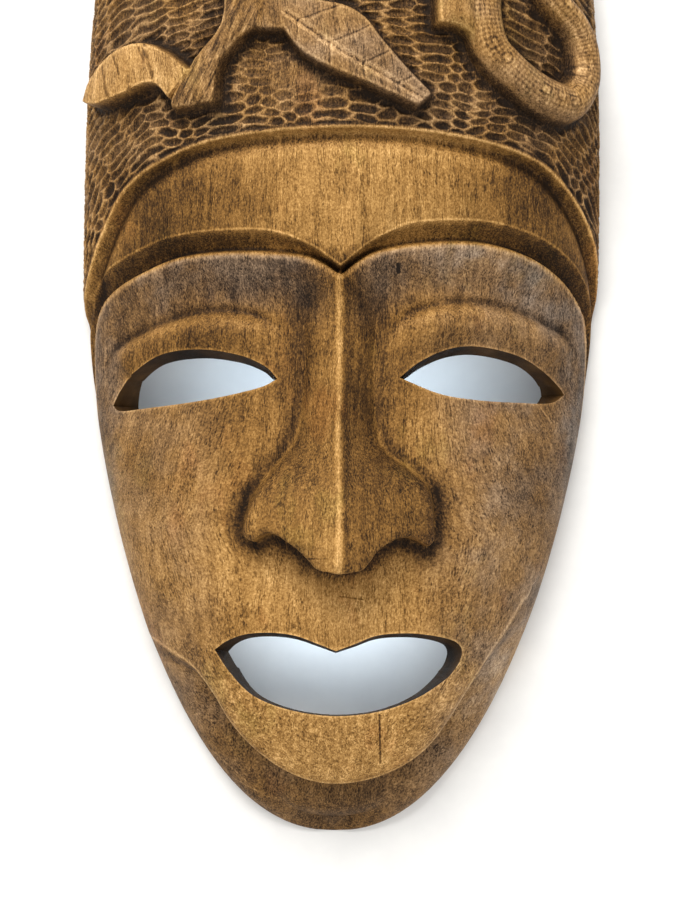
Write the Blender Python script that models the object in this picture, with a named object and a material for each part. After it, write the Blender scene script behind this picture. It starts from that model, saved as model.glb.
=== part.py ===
"""A carved wooden face mask, hollowed from the back of one half log.

It lies on its back rim, face up: X runs across it, +Y towards the top of the headdress and
+Z out of the face. The origin is under the middle of its box, on the plane of the back rim.

The front is one carved field. A bare half log is worked out first, then every carved line
raises or lowers it along its own normal. Places on the mask are shares of its size:
  across  -1 at the left rim, 0 on the middle line, 1 at the right rim, measured along the
          surface of the log ("across"), or as shares of the half width in plan ("plan");
  along   0 at the chin, 1 at the top of the headdress.
"""

import bmesh
import bpy
import numpy as np

MM = 0.001

# Overall sizes
LENGTH = 400 * MM
WIDTH = 176 * MM
CROWN = 52 * MM            # height of the bare log over the back rim, on the middle line
WALL = 13 * MM             # thickness left by the hollowing

# Outline of the log
BROW_AT = 0.47             # along: the face narrows below this line, the headdress is above it
FACE_NARROWING = 1.63      # powers: a small one starts to narrow early
FACE_ROUNDNESS = 2.13      # powers: a large one makes a blunter end
TOP_NARROWING = 3.4
TOP_ROUNDNESS = 2.1
SIDE_MARGIN = 0.9 * MM     # the log is this much narrower on each side than the carved mask
TOP_MARGIN = 2.4 * MM      # and this much shorter at the top
TOP_MARGIN_FROM = 0.85     # along
CROWN_AT = 0.55            # along: where the middle line is highest
CHIN_FALL = 4.4
TOP_FALL = 4.0
ELLIPSE_POWER = 2          # power of the superellipse that a section is above the jaw
JAW_BOXINESS = 0.5         # how much squarer than an ellipse a section through the mouth is
JAW_BOX_RUN = 0.17         # along: the section turns square over this run under the brow

# Hairline and headdress ground
HAIR_RAISE = 3.2 * MM
HAIR_RAISE_AT_RIM = 0.3    # share of the raise that is left at the sides
HAIR_EDGE = 0.16           # across: the raise dies down over this share next to each rim
COVE_DEPTH = 1.3 * MM
COVE_WIDTH = 4.5 * MM

# Brow
GROOVE_WIDTH = 7.2 * MM
GROOVE_DEPTH = 5.2 * MM
GROOVE_AT_NOSE = 2.4 * MM
GROOVE_OPENS = 26 * MM     # from the middle line to where the groove has its full width
GROOVE_FLOOR = 0.22        # share of the groove's width at which it is deepest
GROOVE_CURVE = 1.4         # power of the long slope from the floor up to the forehead
RIDGE_DROP = 1.4 * MM      # the brow ridge lies this far under the forehead
SOCKET_DEPTH = 5.5 * MM    # the eye sockets and cheeks lie this far under the forehead
SOCKET_EDGE = 0.34         # across: the sockets rise again over this share next to each rim
PANEL_FALL = 15 * MM       # width over which the brow panel falls to the socket
CREASE_DEPTH = 1.6 * MM
CREASE_WIDTH = 1.8 * MM
CREASE_FADE = 0.2          # share of its length over which each end of a crease dies out
LID_BULGE = 2.6 * MM
LID_UNDER_CREASE = 7 * MM
LID_WIDTH = 6 * MM

# Nose
NOSE_HEIGHT = 24 * MM
NOSE_TIP_AT = 0.234        # along
NOSE_CURVE = 1.2           # power of the rise of the ridge towards the tip
WING_TOP_AT = 0.335        # along
WING_RUN = 0.05            # along: the wings swell over this run under their top
WING_WALL = 6.5 * MM       # height of the wall round the wings
WING_WALL_RUN = 3.0 * MM
NOSE_SIDE_RUN = 1.6 * MM
NOSE_FOOT_AT = 0.272       # along: under this line the edge turns into a steep cut
NOSE_FOOT_RUN = 0.015      # along
NOSE_CREST = (-0.7 * MM, 0.5 * MM)  # X of the ridge at the brow and at the tip
HOLLOW_UNDER_NOSE = 3.0 * MM
HOLLOW_AT = 0.222          # along
HOLLOW_LENGTH = 0.022      # along
HOLLOW_WIDTH = 0.24        # plan

# Mouth and jaw
LIP_RAISE = 2.0 * MM
LIPS_AT = 0.13             # along
LIPS_LENGTH = 0.06         # along
LIPS_WIDTH = 0.55          # plan
LIP_EDGE = 4 * MM
JAW_VALLEY = 7.5 * MM
JAW_VALLEY_WALL = 4.0 * MM # run of the wall from the lip plate down into the valley
JAW_VALLEY_WIDTH = 17 * MM # from the lip plate to where the jaw is full again
JAW_FADE = 22 * MM         # the valley dies out over this height above the back rim
VALLEY_LEFT_FADE = 0.22    # share of its length over which an end of the valley dies out
VALLEY_RIGHT_FADE = 0.32

# Branch, leaves and snake
BRANCH_HEIGHT = 7.5 * MM
BRANCH_ROUNDING = 7 * MM
STUB_ROUNDING = 5 * MM
FLAT_SHARE = 0.55          # share of a rounded relief's height that its wall takes
LEAF_HEIGHT = 6.5 * MM
WEB_HEIGHT = 5.5 * MM
MIDRIB_DEPTH = 0.9 * MM
MIDRIB_WIDTH = 1.2 * MM
SNAKE_HEIGHT = 8.5 * MM
SNAKE_BODY = 11 * MM       # width of the snake's body
SNAKE_TAPER = 0.3          # the tail is at full height where it is this share of the body
SNAKE_HEAD_SIZE = (11 * MM, 8 * MM)

# Cut edges
CUT_WALL = 1.4 * MM        # run of a steep carved wall
RIM_FADE = 5 * MM          # the carving dies out over this height above the back rim
CUTTER_RINGS = (2.2, 0.0, -1.0, -2.0)  # walls above the face at which a cutter has a ring
CUTTER_CURVE = 2.5         # power of the lean towards the corners of a hole
CUTTER_FACE = 2.4          # power of the section of the face that the cutters stand on

# Fineness of the field, and of the faceted solid
COLUMNS = 221
ROWS = 401
END_CROWDING = 0.25        # share of the rows that is crowded towards the two ends
TRIANGLES = 9600

# Carved lines over the log, as (across, along)
HAIRLINE = [(-1.0, 0.43), (-0.87, 0.462), (-0.776, 0.50), (-0.666, 0.539), (-0.525, 0.561),
            (-0.342, 0.576), (0.0, 0.584), (0.324, 0.580), (0.578, 0.565), (0.734, 0.536),
            (0.865, 0.497), (0.94, 0.465), (1.0, 0.44)]
RIDGE_LEFT = [(-1.06, 0.30), (-0.99, 0.335), (-0.94, 0.362), (-0.91, 0.388), (-0.88, 0.42),
              (-0.83, 0.443), (-0.75, 0.458), (-0.62, 0.4715), (-0.487, 0.482),
              (-0.30, 0.4855), (-0.12, 0.4825), (-0.05, 0.476), (0.0, 0.467)]
RIDGE_RIGHT = [(0.0, 0.467), (0.045, 0.4775), (0.112, 0.487), (0.25, 0.494), (0.42, 0.496),
               (0.58, 0.488), (0.706, 0.4735), (0.80, 0.456), (0.87, 0.436), (0.91, 0.408),
               (0.94, 0.372), (0.99, 0.340), (1.06, 0.31)]
CREASE_LEFT = [(-0.83, 0.385), (-0.80, 0.408), (-0.69, 0.423), (-0.527, 0.436),
               (-0.385, 0.441), (-0.254, 0.436), (-0.15, 0.420)]
CREASE_RIGHT = [(0.125, 0.412), (0.187, 0.434), (0.25, 0.444), (0.373, 0.4505),
                (0.521, 0.448), (0.687, 0.437), (0.80, 0.423), (0.85, 0.395)]

# The branch, the leaves and the snake on the headdress, as (across, along)
BRANCH = [[(-0.482, 0.597), (-0.476, 0.610), (-0.413, 0.639), (-0.346, 0.664),
           (-0.335, 0.70), (-0.30, 0.75), (-0.22, 0.81), (-0.13, 0.865)],
          [(-0.13, 0.865), (-0.03, 0.855)],
          [(-0.03, 0.855), (-0.12, 0.80), (-0.19, 0.74), (-0.215, 0.70), (-0.224, 0.659)],
          [(-0.224, 0.659), (-0.267, 0.655), (-0.331, 0.636), (-0.347, 0.62),
           (-0.349, 0.601)],
          [(-0.349, 0.601), (-0.482, 0.597)]]
WEB = [[(-0.24, 0.657), (-0.13, 0.660), (-0.12, 0.690), (-0.23, 0.71), (-0.24, 0.657)]]
LOW_LEAF = [[(-0.797, 0.613), (-0.761, 0.632), (-0.671, 0.650), (-0.58, 0.654),
             (-0.50, 0.645), (-0.42, 0.628)],
            [(-0.42, 0.628), (-0.485, 0.605)],
            [(-0.485, 0.605), (-0.524, 0.617), (-0.566, 0.6185), (-0.628, 0.613),
             (-0.713, 0.608), (-0.765, 0.609), (-0.797, 0.613)]]
BIG_LEAF = [[(-0.18, 0.662), (-0.142, 0.647), (-0.108, 0.637), (-0.036, 0.626),
             (0.06, 0.615), (0.201, 0.598)],
            [(0.201, 0.598), (0.244, 0.609)],
            [(0.244, 0.609), (0.173, 0.629), (0.105, 0.651), (0.06, 0.667), (0.0, 0.677),
             (-0.09, 0.682), (-0.18, 0.690)],
            [(-0.18, 0.690), (-0.18, 0.662)]]
BIG_MIDRIB = [(-0.158, 0.670), (-0.011, 0.641), (0.135, 0.618), (0.216, 0.605)]
STUB = [[(0.25, 0.74), (0.252, 0.664)],
        [(0.252, 0.664), (0.315, 0.662), (0.365, 0.652)],
        [(0.365, 0.652), (0.375, 0.70), (0.37, 0.75)],
        [(0.37, 0.75), (0.25, 0.74)]]
SNAKE_LINE = [(0.16, 0.775), (0.28, 0.79), (0.38, 0.765), (0.41, 0.72), (0.393, 0.68),
              (0.413, 0.651), (0.469, 0.635), (0.53, 0.623), (0.599, 0.615), (0.672, 0.614),
              (0.724, 0.629), (0.738, 0.645), (0.728, 0.663), (0.692, 0.679), (0.612, 0.698),
              (0.53, 0.73), (0.50, 0.77), (0.46, 0.82), (0.36, 0.86), (0.24, 0.875)]
# Width of the body at each point of its line, as a share of SNAKE_BODY
SNAKE_GIRTH = [0.25, 0.5, 0.75, 0.9, 1.0, 1.15, 1.2, 1.2, 1.25, 1.2,
               1.0, 0.9, 0.9, 0.9, 0.9, 0.95, 0.95, 0.95, 0.9, 0.9]
SNAKE_HEAD = (0.20, 0.878)
# Leaves beyond the branch's fork: base, tip and width
HIGH_LEAVES = [((-0.26, 0.740), (-0.74, 0.80), 21 * MM), ((-0.17, 0.80), (-0.52, 0.90), 22 * MM),
               ((-0.04, 0.80), (0.09, 0.945), 21 * MM)]
LEAF_POINTS = 13
LEAF_BELLY = 0.8           # powers of a leaf's swell: widest a little towards its base
LEAF_FULLNESS = 0.9

# Lines of the face in plan, as (share of the half width, along)
NOSE = [[(0.0, 0.475), (-0.13, 0.44), (-0.135, 0.40), (-0.15, 0.355), (-0.175, 0.335),
         (-0.234, 0.318), (-0.31, 0.297), (-0.352, 0.276), (-0.358, 0.262),
         (-0.337, 0.255), (-0.300, 0.2525)],
        [(-0.300, 0.2525), (-0.248, 0.259), (-0.201, 0.257), (-0.145, 0.249),
         (-0.10, 0.240), (-0.072, 0.2345), (0.016, 0.2325), (0.09, 0.2345),
         (0.118, 0.240), (0.15, 0.2495), (0.20, 0.2565), (0.26, 0.2575), (0.335, 0.250)],
        [(0.335, 0.250), (0.362, 0.258), (0.370, 0.273), (0.360, 0.291), (0.327, 0.306),
         (0.255, 0.3185), (0.175, 0.331), (0.14, 0.355), (0.13, 0.40), (0.13, 0.44),
         (0.0, 0.475)]]
LIP_PLATE = [(-0.72, 0.168), (-0.65, 0.156), (-0.57, 0.1425), (-0.49, 0.121), (-0.425, 0.098),
             (-0.335, 0.0765), (-0.20, 0.056), (-0.05, 0.0445), (0.095, 0.046),
             (0.25, 0.057), (0.373, 0.0745), (0.455, 0.0975), (0.530, 0.125),
             (0.625, 0.160), (0.70, 0.188), (0.755, 0.212)]
EYE_LEFT = [[(-0.858, 0.363), (-0.835, 0.378), (-0.783, 0.390), (-0.664, 0.405),
             (-0.513, 0.409), (-0.366, 0.404), (-0.27, 0.395), (-0.226, 0.385)],
            [(-0.226, 0.385), (-0.292, 0.378), (-0.439, 0.370), (-0.588, 0.3645),
             (-0.741, 0.3605), (-0.83, 0.3585), (-0.858, 0.363)]]
EYE_RIGHT = [[(0.218, 0.3875), (0.293, 0.401), (0.40, 0.412), (0.513, 0.415),
              (0.665, 0.409), (0.78, 0.396), (0.841, 0.383), (0.858, 0.377)],
             [(0.858, 0.377), (0.80, 0.370), (0.669, 0.3695), (0.518, 0.3705),
              (0.369, 0.375), (0.218, 0.3875)]]
MOUTH = [[(-0.448, 0.164), (-0.40, 0.172), (-0.332, 0.178), (-0.24, 0.180), (-0.15, 0.178),
          (-0.07, 0.172), (0.0, 0.166)],
         [(0.0, 0.166), (0.07, 0.172), (0.15, 0.179), (0.25, 0.181), (0.34, 0.179),
          (0.42, 0.173), (0.462, 0.164)],
         [(0.462, 0.164), (0.445, 0.153), (0.40, 0.141), (0.30, 0.127), (0.16, 0.116),
          (0.0, 0.112), (-0.16, 0.116), (-0.30, 0.127), (-0.39, 0.146), (-0.448, 0.164)]]

# How far each cut leans towards its middle on its way through the wall: at the outer
# corner, at the inner corner, at the top and at the bottom
EYE_LEAN = (9.0 * MM, 2.0 * MM, 3.8 * MM, -0.5 * MM)
MOUTH_LEAN = (4.5 * MM, 4.5 * MM, 2.9 * MM, -1.5 * MM)
LEFT_EYE_AT = (-0.54, 0.385)
RIGHT_EYE_AT = (0.54, 0.385)
MOUTH_AT = (0.005, 0.146)

HALF = WIDTH / 2


def step(t):
    """Smooth rise from 0 to 1 as t goes from 0 to 1."""
    t = np.clip(t, 0, 1)
    return t * t * (3 - 2 * t)


def bump(t):
    """Bell of height 1 over t = 0."""
    return np.exp(-t * t)


def run_through(points, steps=8):
    """Catmull-Rom curve through the points, steps samples to a span."""
    p = np.array(points, float)
    p = np.vstack([2 * p[0] - p[1], p, 2 * p[-1] - p[-2]])
    t = np.linspace(0, 1, steps, endpoint=False)[:, None]
    spans = []
    for a, b, c, d in zip(p[:-3], p[1:-2], p[2:-1], p[3:]):
        spans.append(0.5 * (2 * b + (c - a) * t + (2 * a - 5 * b + 4 * c - d) * t ** 2
                            + (3 * b - a - 3 * c + d) * t ** 3))
    return np.vstack(spans + [p[-2:-1]])


def outline_of(runs, steps=8):
    """Closed outline from smooth runs that meet in corners."""
    return np.vstack([run_through(run, steps)[:-1] for run in runs])


def reach(line, x, y, closed=False):
    """Distance of each place to a line, its signed side and its share along the line.

    The side is positive to the left of the line's direction, or inside a closed line.
    """
    ends = np.vstack([line, line[:1]]) if closed else line
    start, go = ends[:-1], np.diff(ends, axis=0)
    keep = (go ** 2).sum(1) > 0
    start, go = start[keep], go[keep]
    best = np.full(x.shape, np.inf)
    side = np.zeros(x.shape)
    share = np.zeros(x.shape)
    odd = np.zeros(x.shape, bool)
    length = np.hypot(go[:, 0], go[:, 1])
    before = np.concatenate([[0], np.cumsum(length)])
    for (sx, sy), (gx, gy), size, done in zip(start, go, length, before):
        t = np.clip(((x - sx) * gx + (y - sy) * gy) / size ** 2, 0, 1)
        away = np.hypot(x - sx - t * gx, y - sy - t * gy)
        nearer = away < best
        best = np.where(nearer, away, best)
        turn = np.sign(gx * (y - sy) - gy * (x - sx))
        side = np.where(nearer, turn, side)
        share = np.where(nearer, (done + t * size) / before[-1], share)
        if closed:
            crosses = (sy > y) != (sy + gy > y)
            at = sx + gx * (y - sy) / np.where(gy == 0, 1, gy)
            odd ^= crosses & (x < at)
    if closed:
        side = np.where(odd, 1.0, -1.0)
    return best, side, share


def half_width(along):
    """Half width of the log at each share of the length."""
    face = np.clip((BROW_AT - along) / BROW_AT, 0, 1)
    top = np.clip((along - BROW_AT) / (1 - BROW_AT), 0, 1)
    narrow = (1 - face ** FACE_NARROWING) ** (1 / FACE_ROUNDNESS)
    narrow = narrow * (1 - top ** TOP_NARROWING) ** (1 / TOP_ROUNDNESS)
    return (HALF - SIDE_MARGIN) * narrow


def crown_height(along):
    """Height of the log on the middle line: it falls to the back rim at both ends."""
    chin = np.clip((CROWN_AT - along) / CROWN_AT, 0, 1)
    top = np.clip((along - CROWN_AT) / (1 - CROWN_AT), 0, 1)
    return CROWN * np.sqrt((1 - chin ** CHIN_FALL) * (1 - top ** TOP_FALL))


def section_angles(across):
    """Angles from the middle line at which the log's surface reaches these shares."""
    fine = np.linspace(0, np.pi / 2, 2001)
    speed = np.hypot(HALF * np.cos(fine), CROWN * np.sin(fine))
    run = np.concatenate([[0], np.cumsum((speed[1:] + speed[:-1]) / 2 * np.diff(fine))])
    return np.sign(across) * np.interp(np.abs(across) * run[-1], run, fine), run[-1]


def log_surface(across, along, inset=0.0):
    """Points of the bare half log, or of its hollow at a wall of inset."""
    angle, _ = section_angles(across)
    squarer = ELLIPSE_POWER + JAW_BOXINESS * step((BROW_AT - along) / JAW_BOX_RUN)
    wide = np.maximum(half_width(along) - inset, 0)
    high = np.maximum(crown_height(along) - inset, 0)
    s = np.abs(np.sin(angle))
    up = np.where(s >= 1, 0.0, (1 - np.minimum(s, 1) ** squarer) ** (1 / squarer))
    up = np.where(np.abs(across) >= 1, 0.0, up)
    return np.stack([wide * np.sin(angle), np.zeros_like(wide), high * up], -1)


def raised(line, x, y, height, rounding=0.0):
    """Relief of a closed outline: a steep wall, then flat, or domed over its rounding."""
    away, side, _ = reach(line, x, y, closed=True)
    inside = away * side
    lift = step((inside + CUT_WALL / 2) / CUT_WALL)
    if rounding:
        dome = np.sqrt(1 - (1 - np.clip(inside / rounding, 0, 1)) ** 2)
        lift = lift * (FLAT_SHARE + (1 - FLAT_SHARE) * dome)
    return height * lift


def leaf_outline(base, tip, width):
    """Almond outline from base to tip, in places on the log."""
    t = np.linspace(0, 1, LEAF_POINTS)[:, None]
    middle = base + (tip - base) * t
    square = np.array([-(tip - base)[1], (tip - base)[0]])
    square = square / np.hypot(*square)
    belly = width / 2 * np.abs(np.sin(np.pi * t ** LEAF_BELLY)) ** LEAF_FULLNESS
    return np.vstack([middle + square * belly, (middle - square * belly)[-2:0:-1]])


def brow_and_sockets(u, y, unroll):
    """Heights of the forehead, groove, brow panels, sockets and lids."""
    ridge = np.vstack([run_through(RIDGE_LEFT)[:-1], run_through(RIDGE_RIGHT)]) * unroll
    away, side, _ = reach(ridge, u, y)
    above = away * side
    groove = GROOVE_AT_NOSE + (GROOVE_WIDTH - GROOVE_AT_NOSE) * step(np.abs(u) / GROOVE_OPENS)
    t = np.clip(above / groove, 0, 1)
    up = RIDGE_DROP + (GROOVE_DEPTH - RIDGE_DROP) * step(t / GROOVE_FLOOR)
    slope = np.clip((t - GROOVE_FLOOR) / (1 - GROOVE_FLOOR), 0, 1)
    down = GROOVE_DEPTH * (1 - slope ** GROOVE_CURVE)
    forehead = -np.where(t < GROOVE_FLOOR, up, down)
    under = np.clip(-above, 0, None)
    panel = -RIDGE_DROP - (SOCKET_DEPTH - RIDGE_DROP) * step(under / PANEL_FALL)
    panel = panel * step((1 - np.abs(u) / unroll[0]) / SOCKET_EDGE)
    relief = np.where(above > 0, forehead, panel)
    for crease in (CREASE_LEFT, CREASE_RIGHT):
        away, side, share = reach(run_through(crease) * unroll, u, y)
        fade = step(share / CREASE_FADE) * step((1 - share) / CREASE_FADE)
        below = away * -side
        relief = relief - CREASE_DEPTH * fade * bump(away / CREASE_WIDTH)
        relief = relief + LID_BULGE * fade * bump((below - LID_UNDER_CREASE) / LID_WIDTH)
    return relief


def nose(x, y, along, plan):
    """Height of the nose over the face: a crisp ridge, flat sides and walls round the wings."""
    away, side, _ = reach(outline_of(NOSE) * plan, x, y, closed=True)
    inside = np.clip(away * side, 0, None)
    down = np.clip((BROW_AT - along) / (BROW_AT - NOSE_TIP_AT), 0, 1)
    at_brow = SOCKET_DEPTH - RIDGE_DROP
    ridge = at_brow + (NOSE_HEIGHT - at_brow) * down ** NOSE_CURVE
    left, right = run_through(NOSE[0])[::-1].T, run_through(NOSE[2]).T
    from_crest = x - NOSE_CREST[0] - (NOSE_CREST[1] - NOSE_CREST[0]) * down
    foot = np.where(from_crest < 0, np.interp(along, left[1], left[0]),
                    np.interp(along, right[1], right[0])) * HALF
    wide = np.maximum(np.abs(foot - x + from_crest), CUT_WALL)
    slope = 1 - np.clip(np.abs(from_crest) / wide, 0, 1)
    wings = step((WING_TOP_AT - along) / WING_RUN)
    wall = WING_WALL * wings
    run = NOSE_SIDE_RUN + (WING_WALL_RUN - NOSE_SIDE_RUN) * wings
    run = run + (CUT_WALL - run) * step((NOSE_FOOT_AT - along) / NOSE_FOOT_RUN)
    return (wall + (ridge - wall) * slope) * step(inside / run)


def mouth_and_jaw(x, y, z, along, plan):
    """Heights of the lips, the hollow under the nose and the valley round the jaw."""
    away, side, share = reach(run_through(LIP_PLATE) * plan, x, y)
    outside = -away * side
    fade = step(share / VALLEY_LEFT_FADE) * step((1 - share) / VALLEY_RIGHT_FADE)
    valley = -JAW_VALLEY * fade * step(outside / JAW_VALLEY_WALL)
    spent = (outside - JAW_VALLEY_WALL) / (JAW_VALLEY_WIDTH - JAW_VALLEY_WALL)
    valley = valley * (1 - step(spent)) * step(z / JAW_FADE)
    lips = LIP_RAISE * bump(x / (LIPS_WIDTH * HALF)) * bump((along - LIPS_AT) / LIPS_LENGTH)
    lips = lips * step(0.5 - outside / LIP_EDGE)
    hollow = bump(x / (HOLLOW_WIDTH * HALF)) * bump((along - HOLLOW_AT) / HOLLOW_LENGTH)
    return valley + lips - HOLLOW_UNDER_NOSE * hollow


def snake(u, y, unroll):
    """Height of the snake: a round body that follows its line, and a flat head."""
    away, _, share = reach(run_through(SNAKE_LINE) * unroll, u, y)
    girth = run_through([(g, 0) for g in SNAKE_GIRTH])[:, 0] * SNAKE_BODY / 2
    half = np.interp(share, np.linspace(0, 1, len(girth)), girth)
    body = np.sqrt(np.clip(1 - (away / half) ** 2, 0, 1)) * step(half / (SNAKE_TAPER * SNAKE_BODY))
    middle = np.array(SNAKE_HEAD) * unroll
    skull = ((u - middle[0]) / SNAKE_HEAD_SIZE[0]) ** 2 + ((y - middle[1]) / SNAKE_HEAD_SIZE[1]) ** 2
    return SNAKE_HEIGHT * np.maximum(body, np.sqrt(np.clip(1 - skull, 0, 1)))


def headdress(u, y, unroll):
    """Height of the raised headdress with its branch, leaves and snake."""
    away, side, _ = reach(run_through(HAIRLINE) * unroll, u, y)
    above = away * side
    middle = step((1 - np.abs(u) / unroll[0]) / HAIR_EDGE)
    ground = HAIR_RAISE * (HAIR_RAISE_AT_RIM + (1 - HAIR_RAISE_AT_RIM) * middle)
    ground = ground * step((above + CUT_WALL) / CUT_WALL)
    ground = ground - COVE_DEPTH * bump((above + COVE_WIDTH / 2) / (COVE_WIDTH / 2))
    high = snake(u, y, unroll)
    for runs, height, rounding in ((BRANCH, BRANCH_HEIGHT, BRANCH_ROUNDING),
                                   (STUB, BRANCH_HEIGHT, STUB_ROUNDING),
                                   (WEB, WEB_HEIGHT, 0.0),
                                   (LOW_LEAF, LEAF_HEIGHT, 0.0)):
        high = np.maximum(high, raised(outline_of(runs) * unroll, u, y, height, rounding))
    leaves = [(outline_of(BIG_LEAF) * unroll, run_through(BIG_MIDRIB) * unroll)]
    for base, tip, width in HIGH_LEAVES:
        ends = np.array([base, tip]) * unroll
        leaves.append((leaf_outline(ends[0], ends[1], width), ends))
    for outline, midrib in leaves:
        leaf = raised(outline, u, y, LEAF_HEIGHT)
        away, _, _ = reach(midrib, u, y)
        rib = MIDRIB_DEPTH * bump(away / MIDRIB_WIDTH) * (leaf > MIDRIB_DEPTH)
        high = np.maximum(high, leaf - rib)
    return ground + high


def carved_relief(points, across, along):
    """Height of the carving over each point of the log, along its normal."""
    _, quarter = section_angles(across)
    unroll = np.array([quarter, LENGTH])
    plan = np.array([HALF, LENGTH])
    u, y = across * quarter, along * LENGTH
    x, z = points[..., 0], points[..., 2]
    relief = brow_and_sockets(u, y, unroll)
    relief = relief + headdress(u, y, unroll)
    relief = relief + nose(x, y, along, plan) + mouth_and_jaw(x, y, z, along, plan)
    return relief * step(z / RIM_FADE)


def normals_of(points):
    """Unit normals of a grid of points, outwards."""
    du = np.gradient(points, axis=1)
    dv = np.gradient(points, axis=0)
    n = np.cross(du, dv)
    return n / np.maximum(np.linalg.norm(n, axis=-1, keepdims=True), 1e-12)


def mask_grids():
    """The front and the hollow, as grids of points with one row to a section."""
    ends = np.linspace(-np.pi / 2, np.pi / 2, ROWS)
    even = np.linspace(0, 1, ROWS)
    along = even + END_CROWDING * ((np.sin(ends) + 1) / 2 - even)
    across, along = np.meshgrid(np.linspace(-1, 1, COLUMNS), along)
    front = log_surface(across, along)
    back_from_end = TOP_MARGIN * step((along - TOP_MARGIN_FROM) / (1 - TOP_MARGIN_FROM))
    front[..., 1] = (along - 0.5) * LENGTH - back_from_end
    relief = carved_relief(front, across, along)
    front = front + normals_of(front) * relief[..., None]
    front[:, 0, 2] = front[:, -1, 2] = 0.0
    hollow = log_surface(across, along, WALL)
    hollow[..., 1] = (along - 0.5) * (LENGTH - 2 * WALL)
    return front, hollow


def closed_shell(front, hollow):
    """Points and quads of the closed body between the two grids, joined round the rim."""
    rows, columns = front.shape[:2]
    inner = front[1:-1].reshape(-1, 3)
    back = hollow[1:-1].reshape(-1, 3)
    poles = np.array([front[0, 0], front[-1, 0], hollow[0, 0], hollow[-1, 0]])
    points = np.vstack([inner, back, poles])
    count = len(inner)
    index = np.arange(count).reshape(rows - 2, columns)
    a, b, c, d = index[:-1, :-1], index[:-1, 1:], index[1:, 1:], index[1:, :-1]
    quads = np.stack([a, b, c, d], -1).reshape(-1, 4)
    sides = []
    for column, order in ((0, (0, 1, 3, 2)), (columns - 1, (2, 3, 1, 0))):
        low, high = index[:-1, column], index[1:, column]
        strip = np.stack([low, high, low + count, high + count], -1)
        sides.append(strip[:, order])
    quads = np.vstack([quads, quads[:, ::-1] + count] + sides)
    chin, top, chin_in, top_in = 2 * count + np.arange(4)
    fans = []
    for row, pole, pole_in, turned in ((0, chin, chin_in, True), (rows - 3, top, top_in, False)):
        left, right = index[row, :-1], index[row, 1:]
        fan = np.stack([left, np.full_like(left, pole), right], -1)
        fan_in = np.stack([right, np.full_like(left, pole_in), left], -1) + [count, 0, count]
        if not turned:
            fan, fan_in = fan[:, ::-1], fan_in[:, ::-1]
        fans += [fan, fan_in]
        first, last = index[row, 0], index[row, -1]
        ring = [[first, first + count, pole_in, pole], [pole, pole_in, last + count, last]]
        if not turned:
            ring = [list(reversed(q)) for q in ring]
        sides_at_pole = np.array(ring)
        quads = np.vstack([quads, sides_at_pole])
    return points, [q.tolist() for q in quads] + [f.tolist() for f in np.vstack(fans)]


def make_object(name, points, faces):
    """A mesh object from points and faces."""
    mesh = bpy.data.meshes.new(name)
    mesh.from_pydata([tuple(p) for p in points], [], faces)
    mesh.update()
    thing = bpy.data.objects.new(name, mesh)
    bpy.context.scene.collection.objects.link(thing)
    return thing


def wood():
    """Oiled and worn brown wood."""
    material = bpy.data.materials.new("carved_wood")
    material.use_nodes = True
    shader = material.node_tree.nodes["Principled BSDF"]
    shader.inputs["Base Color"].default_value = (0.30, 0.155, 0.06, 1)
    shader.inputs["Roughness"].default_value = 0.55
    shader.inputs["Metallic"].default_value = 0.0
    return material


def surface_height(x, y):
    """Rough height of the face in plan, for the cutters: the log less the sockets."""
    along = y / LENGTH + 0.5
    wide = half_width(along)
    share = np.clip(np.abs(x) / wide, 0, 1)
    return crown_height(along) * (1 - share ** CUTTER_FACE) ** (1 / CUTTER_FACE) - SOCKET_DEPTH


def cutter(name, runs, middle, lean):
    """A tool for a hole: its outline on the face, leaning inwards on the way to the back."""
    edge = (outline_of(runs, 4) - [0, 0.5]) * [HALF, LENGTH]
    x, y = edge.T
    outer, inner, top, bottom = lean
    centre_x, centre_y = middle
    side = (x - centre_x) / np.abs(x - centre_x).max()
    outwards = side * (1 if centre_x >= 0 else -1)
    slide = np.where(outwards > 0, outer, inner) * np.abs(side) ** CUTTER_CURVE
    rise = (y - centre_y) / np.abs(y - centre_y).max()
    drop = np.where(rise > 0, top, -bottom) * np.sqrt(np.abs(rise))
    shift = np.stack([-np.sign(side) * slide, -drop, np.full_like(x, -WALL)], -1)
    on_face = np.stack([x, y, surface_height(x, y)], -1)
    rings = [on_face - shift * walls for walls in CUTTER_RINGS]
    n = len(x)
    last = len(rings) - 1
    points = np.vstack(rings)
    faces = []
    for ring in range(last):
        for i in range(n):
            j = (i + 1) % n
            faces.append([ring * n + i, ring * n + j, (ring + 1) * n + j, (ring + 1) * n + i])
    for ring, flip in ((0, True), (last, False)):
        points = np.vstack([points, rings[ring].mean(0)])
        hub = len(points) - 1
        for i in range(n):
            j = (i + 1) % n
            face = [ring * n + i, ring * n + j, hub]
            faces.append(face[::-1] if flip else face)
    tool = make_object(name, points, faces)
    tool.hide_render = True
    tool.display_type = "WIRE"
    return tool


def face_outwards(thing):
    """Turns a closed mesh's faces outwards."""
    work = bmesh.new()
    work.from_mesh(thing.data)
    bmesh.ops.recalc_face_normals(work, faces=work.faces)
    work.to_mesh(thing.data)
    work.free()


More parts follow.
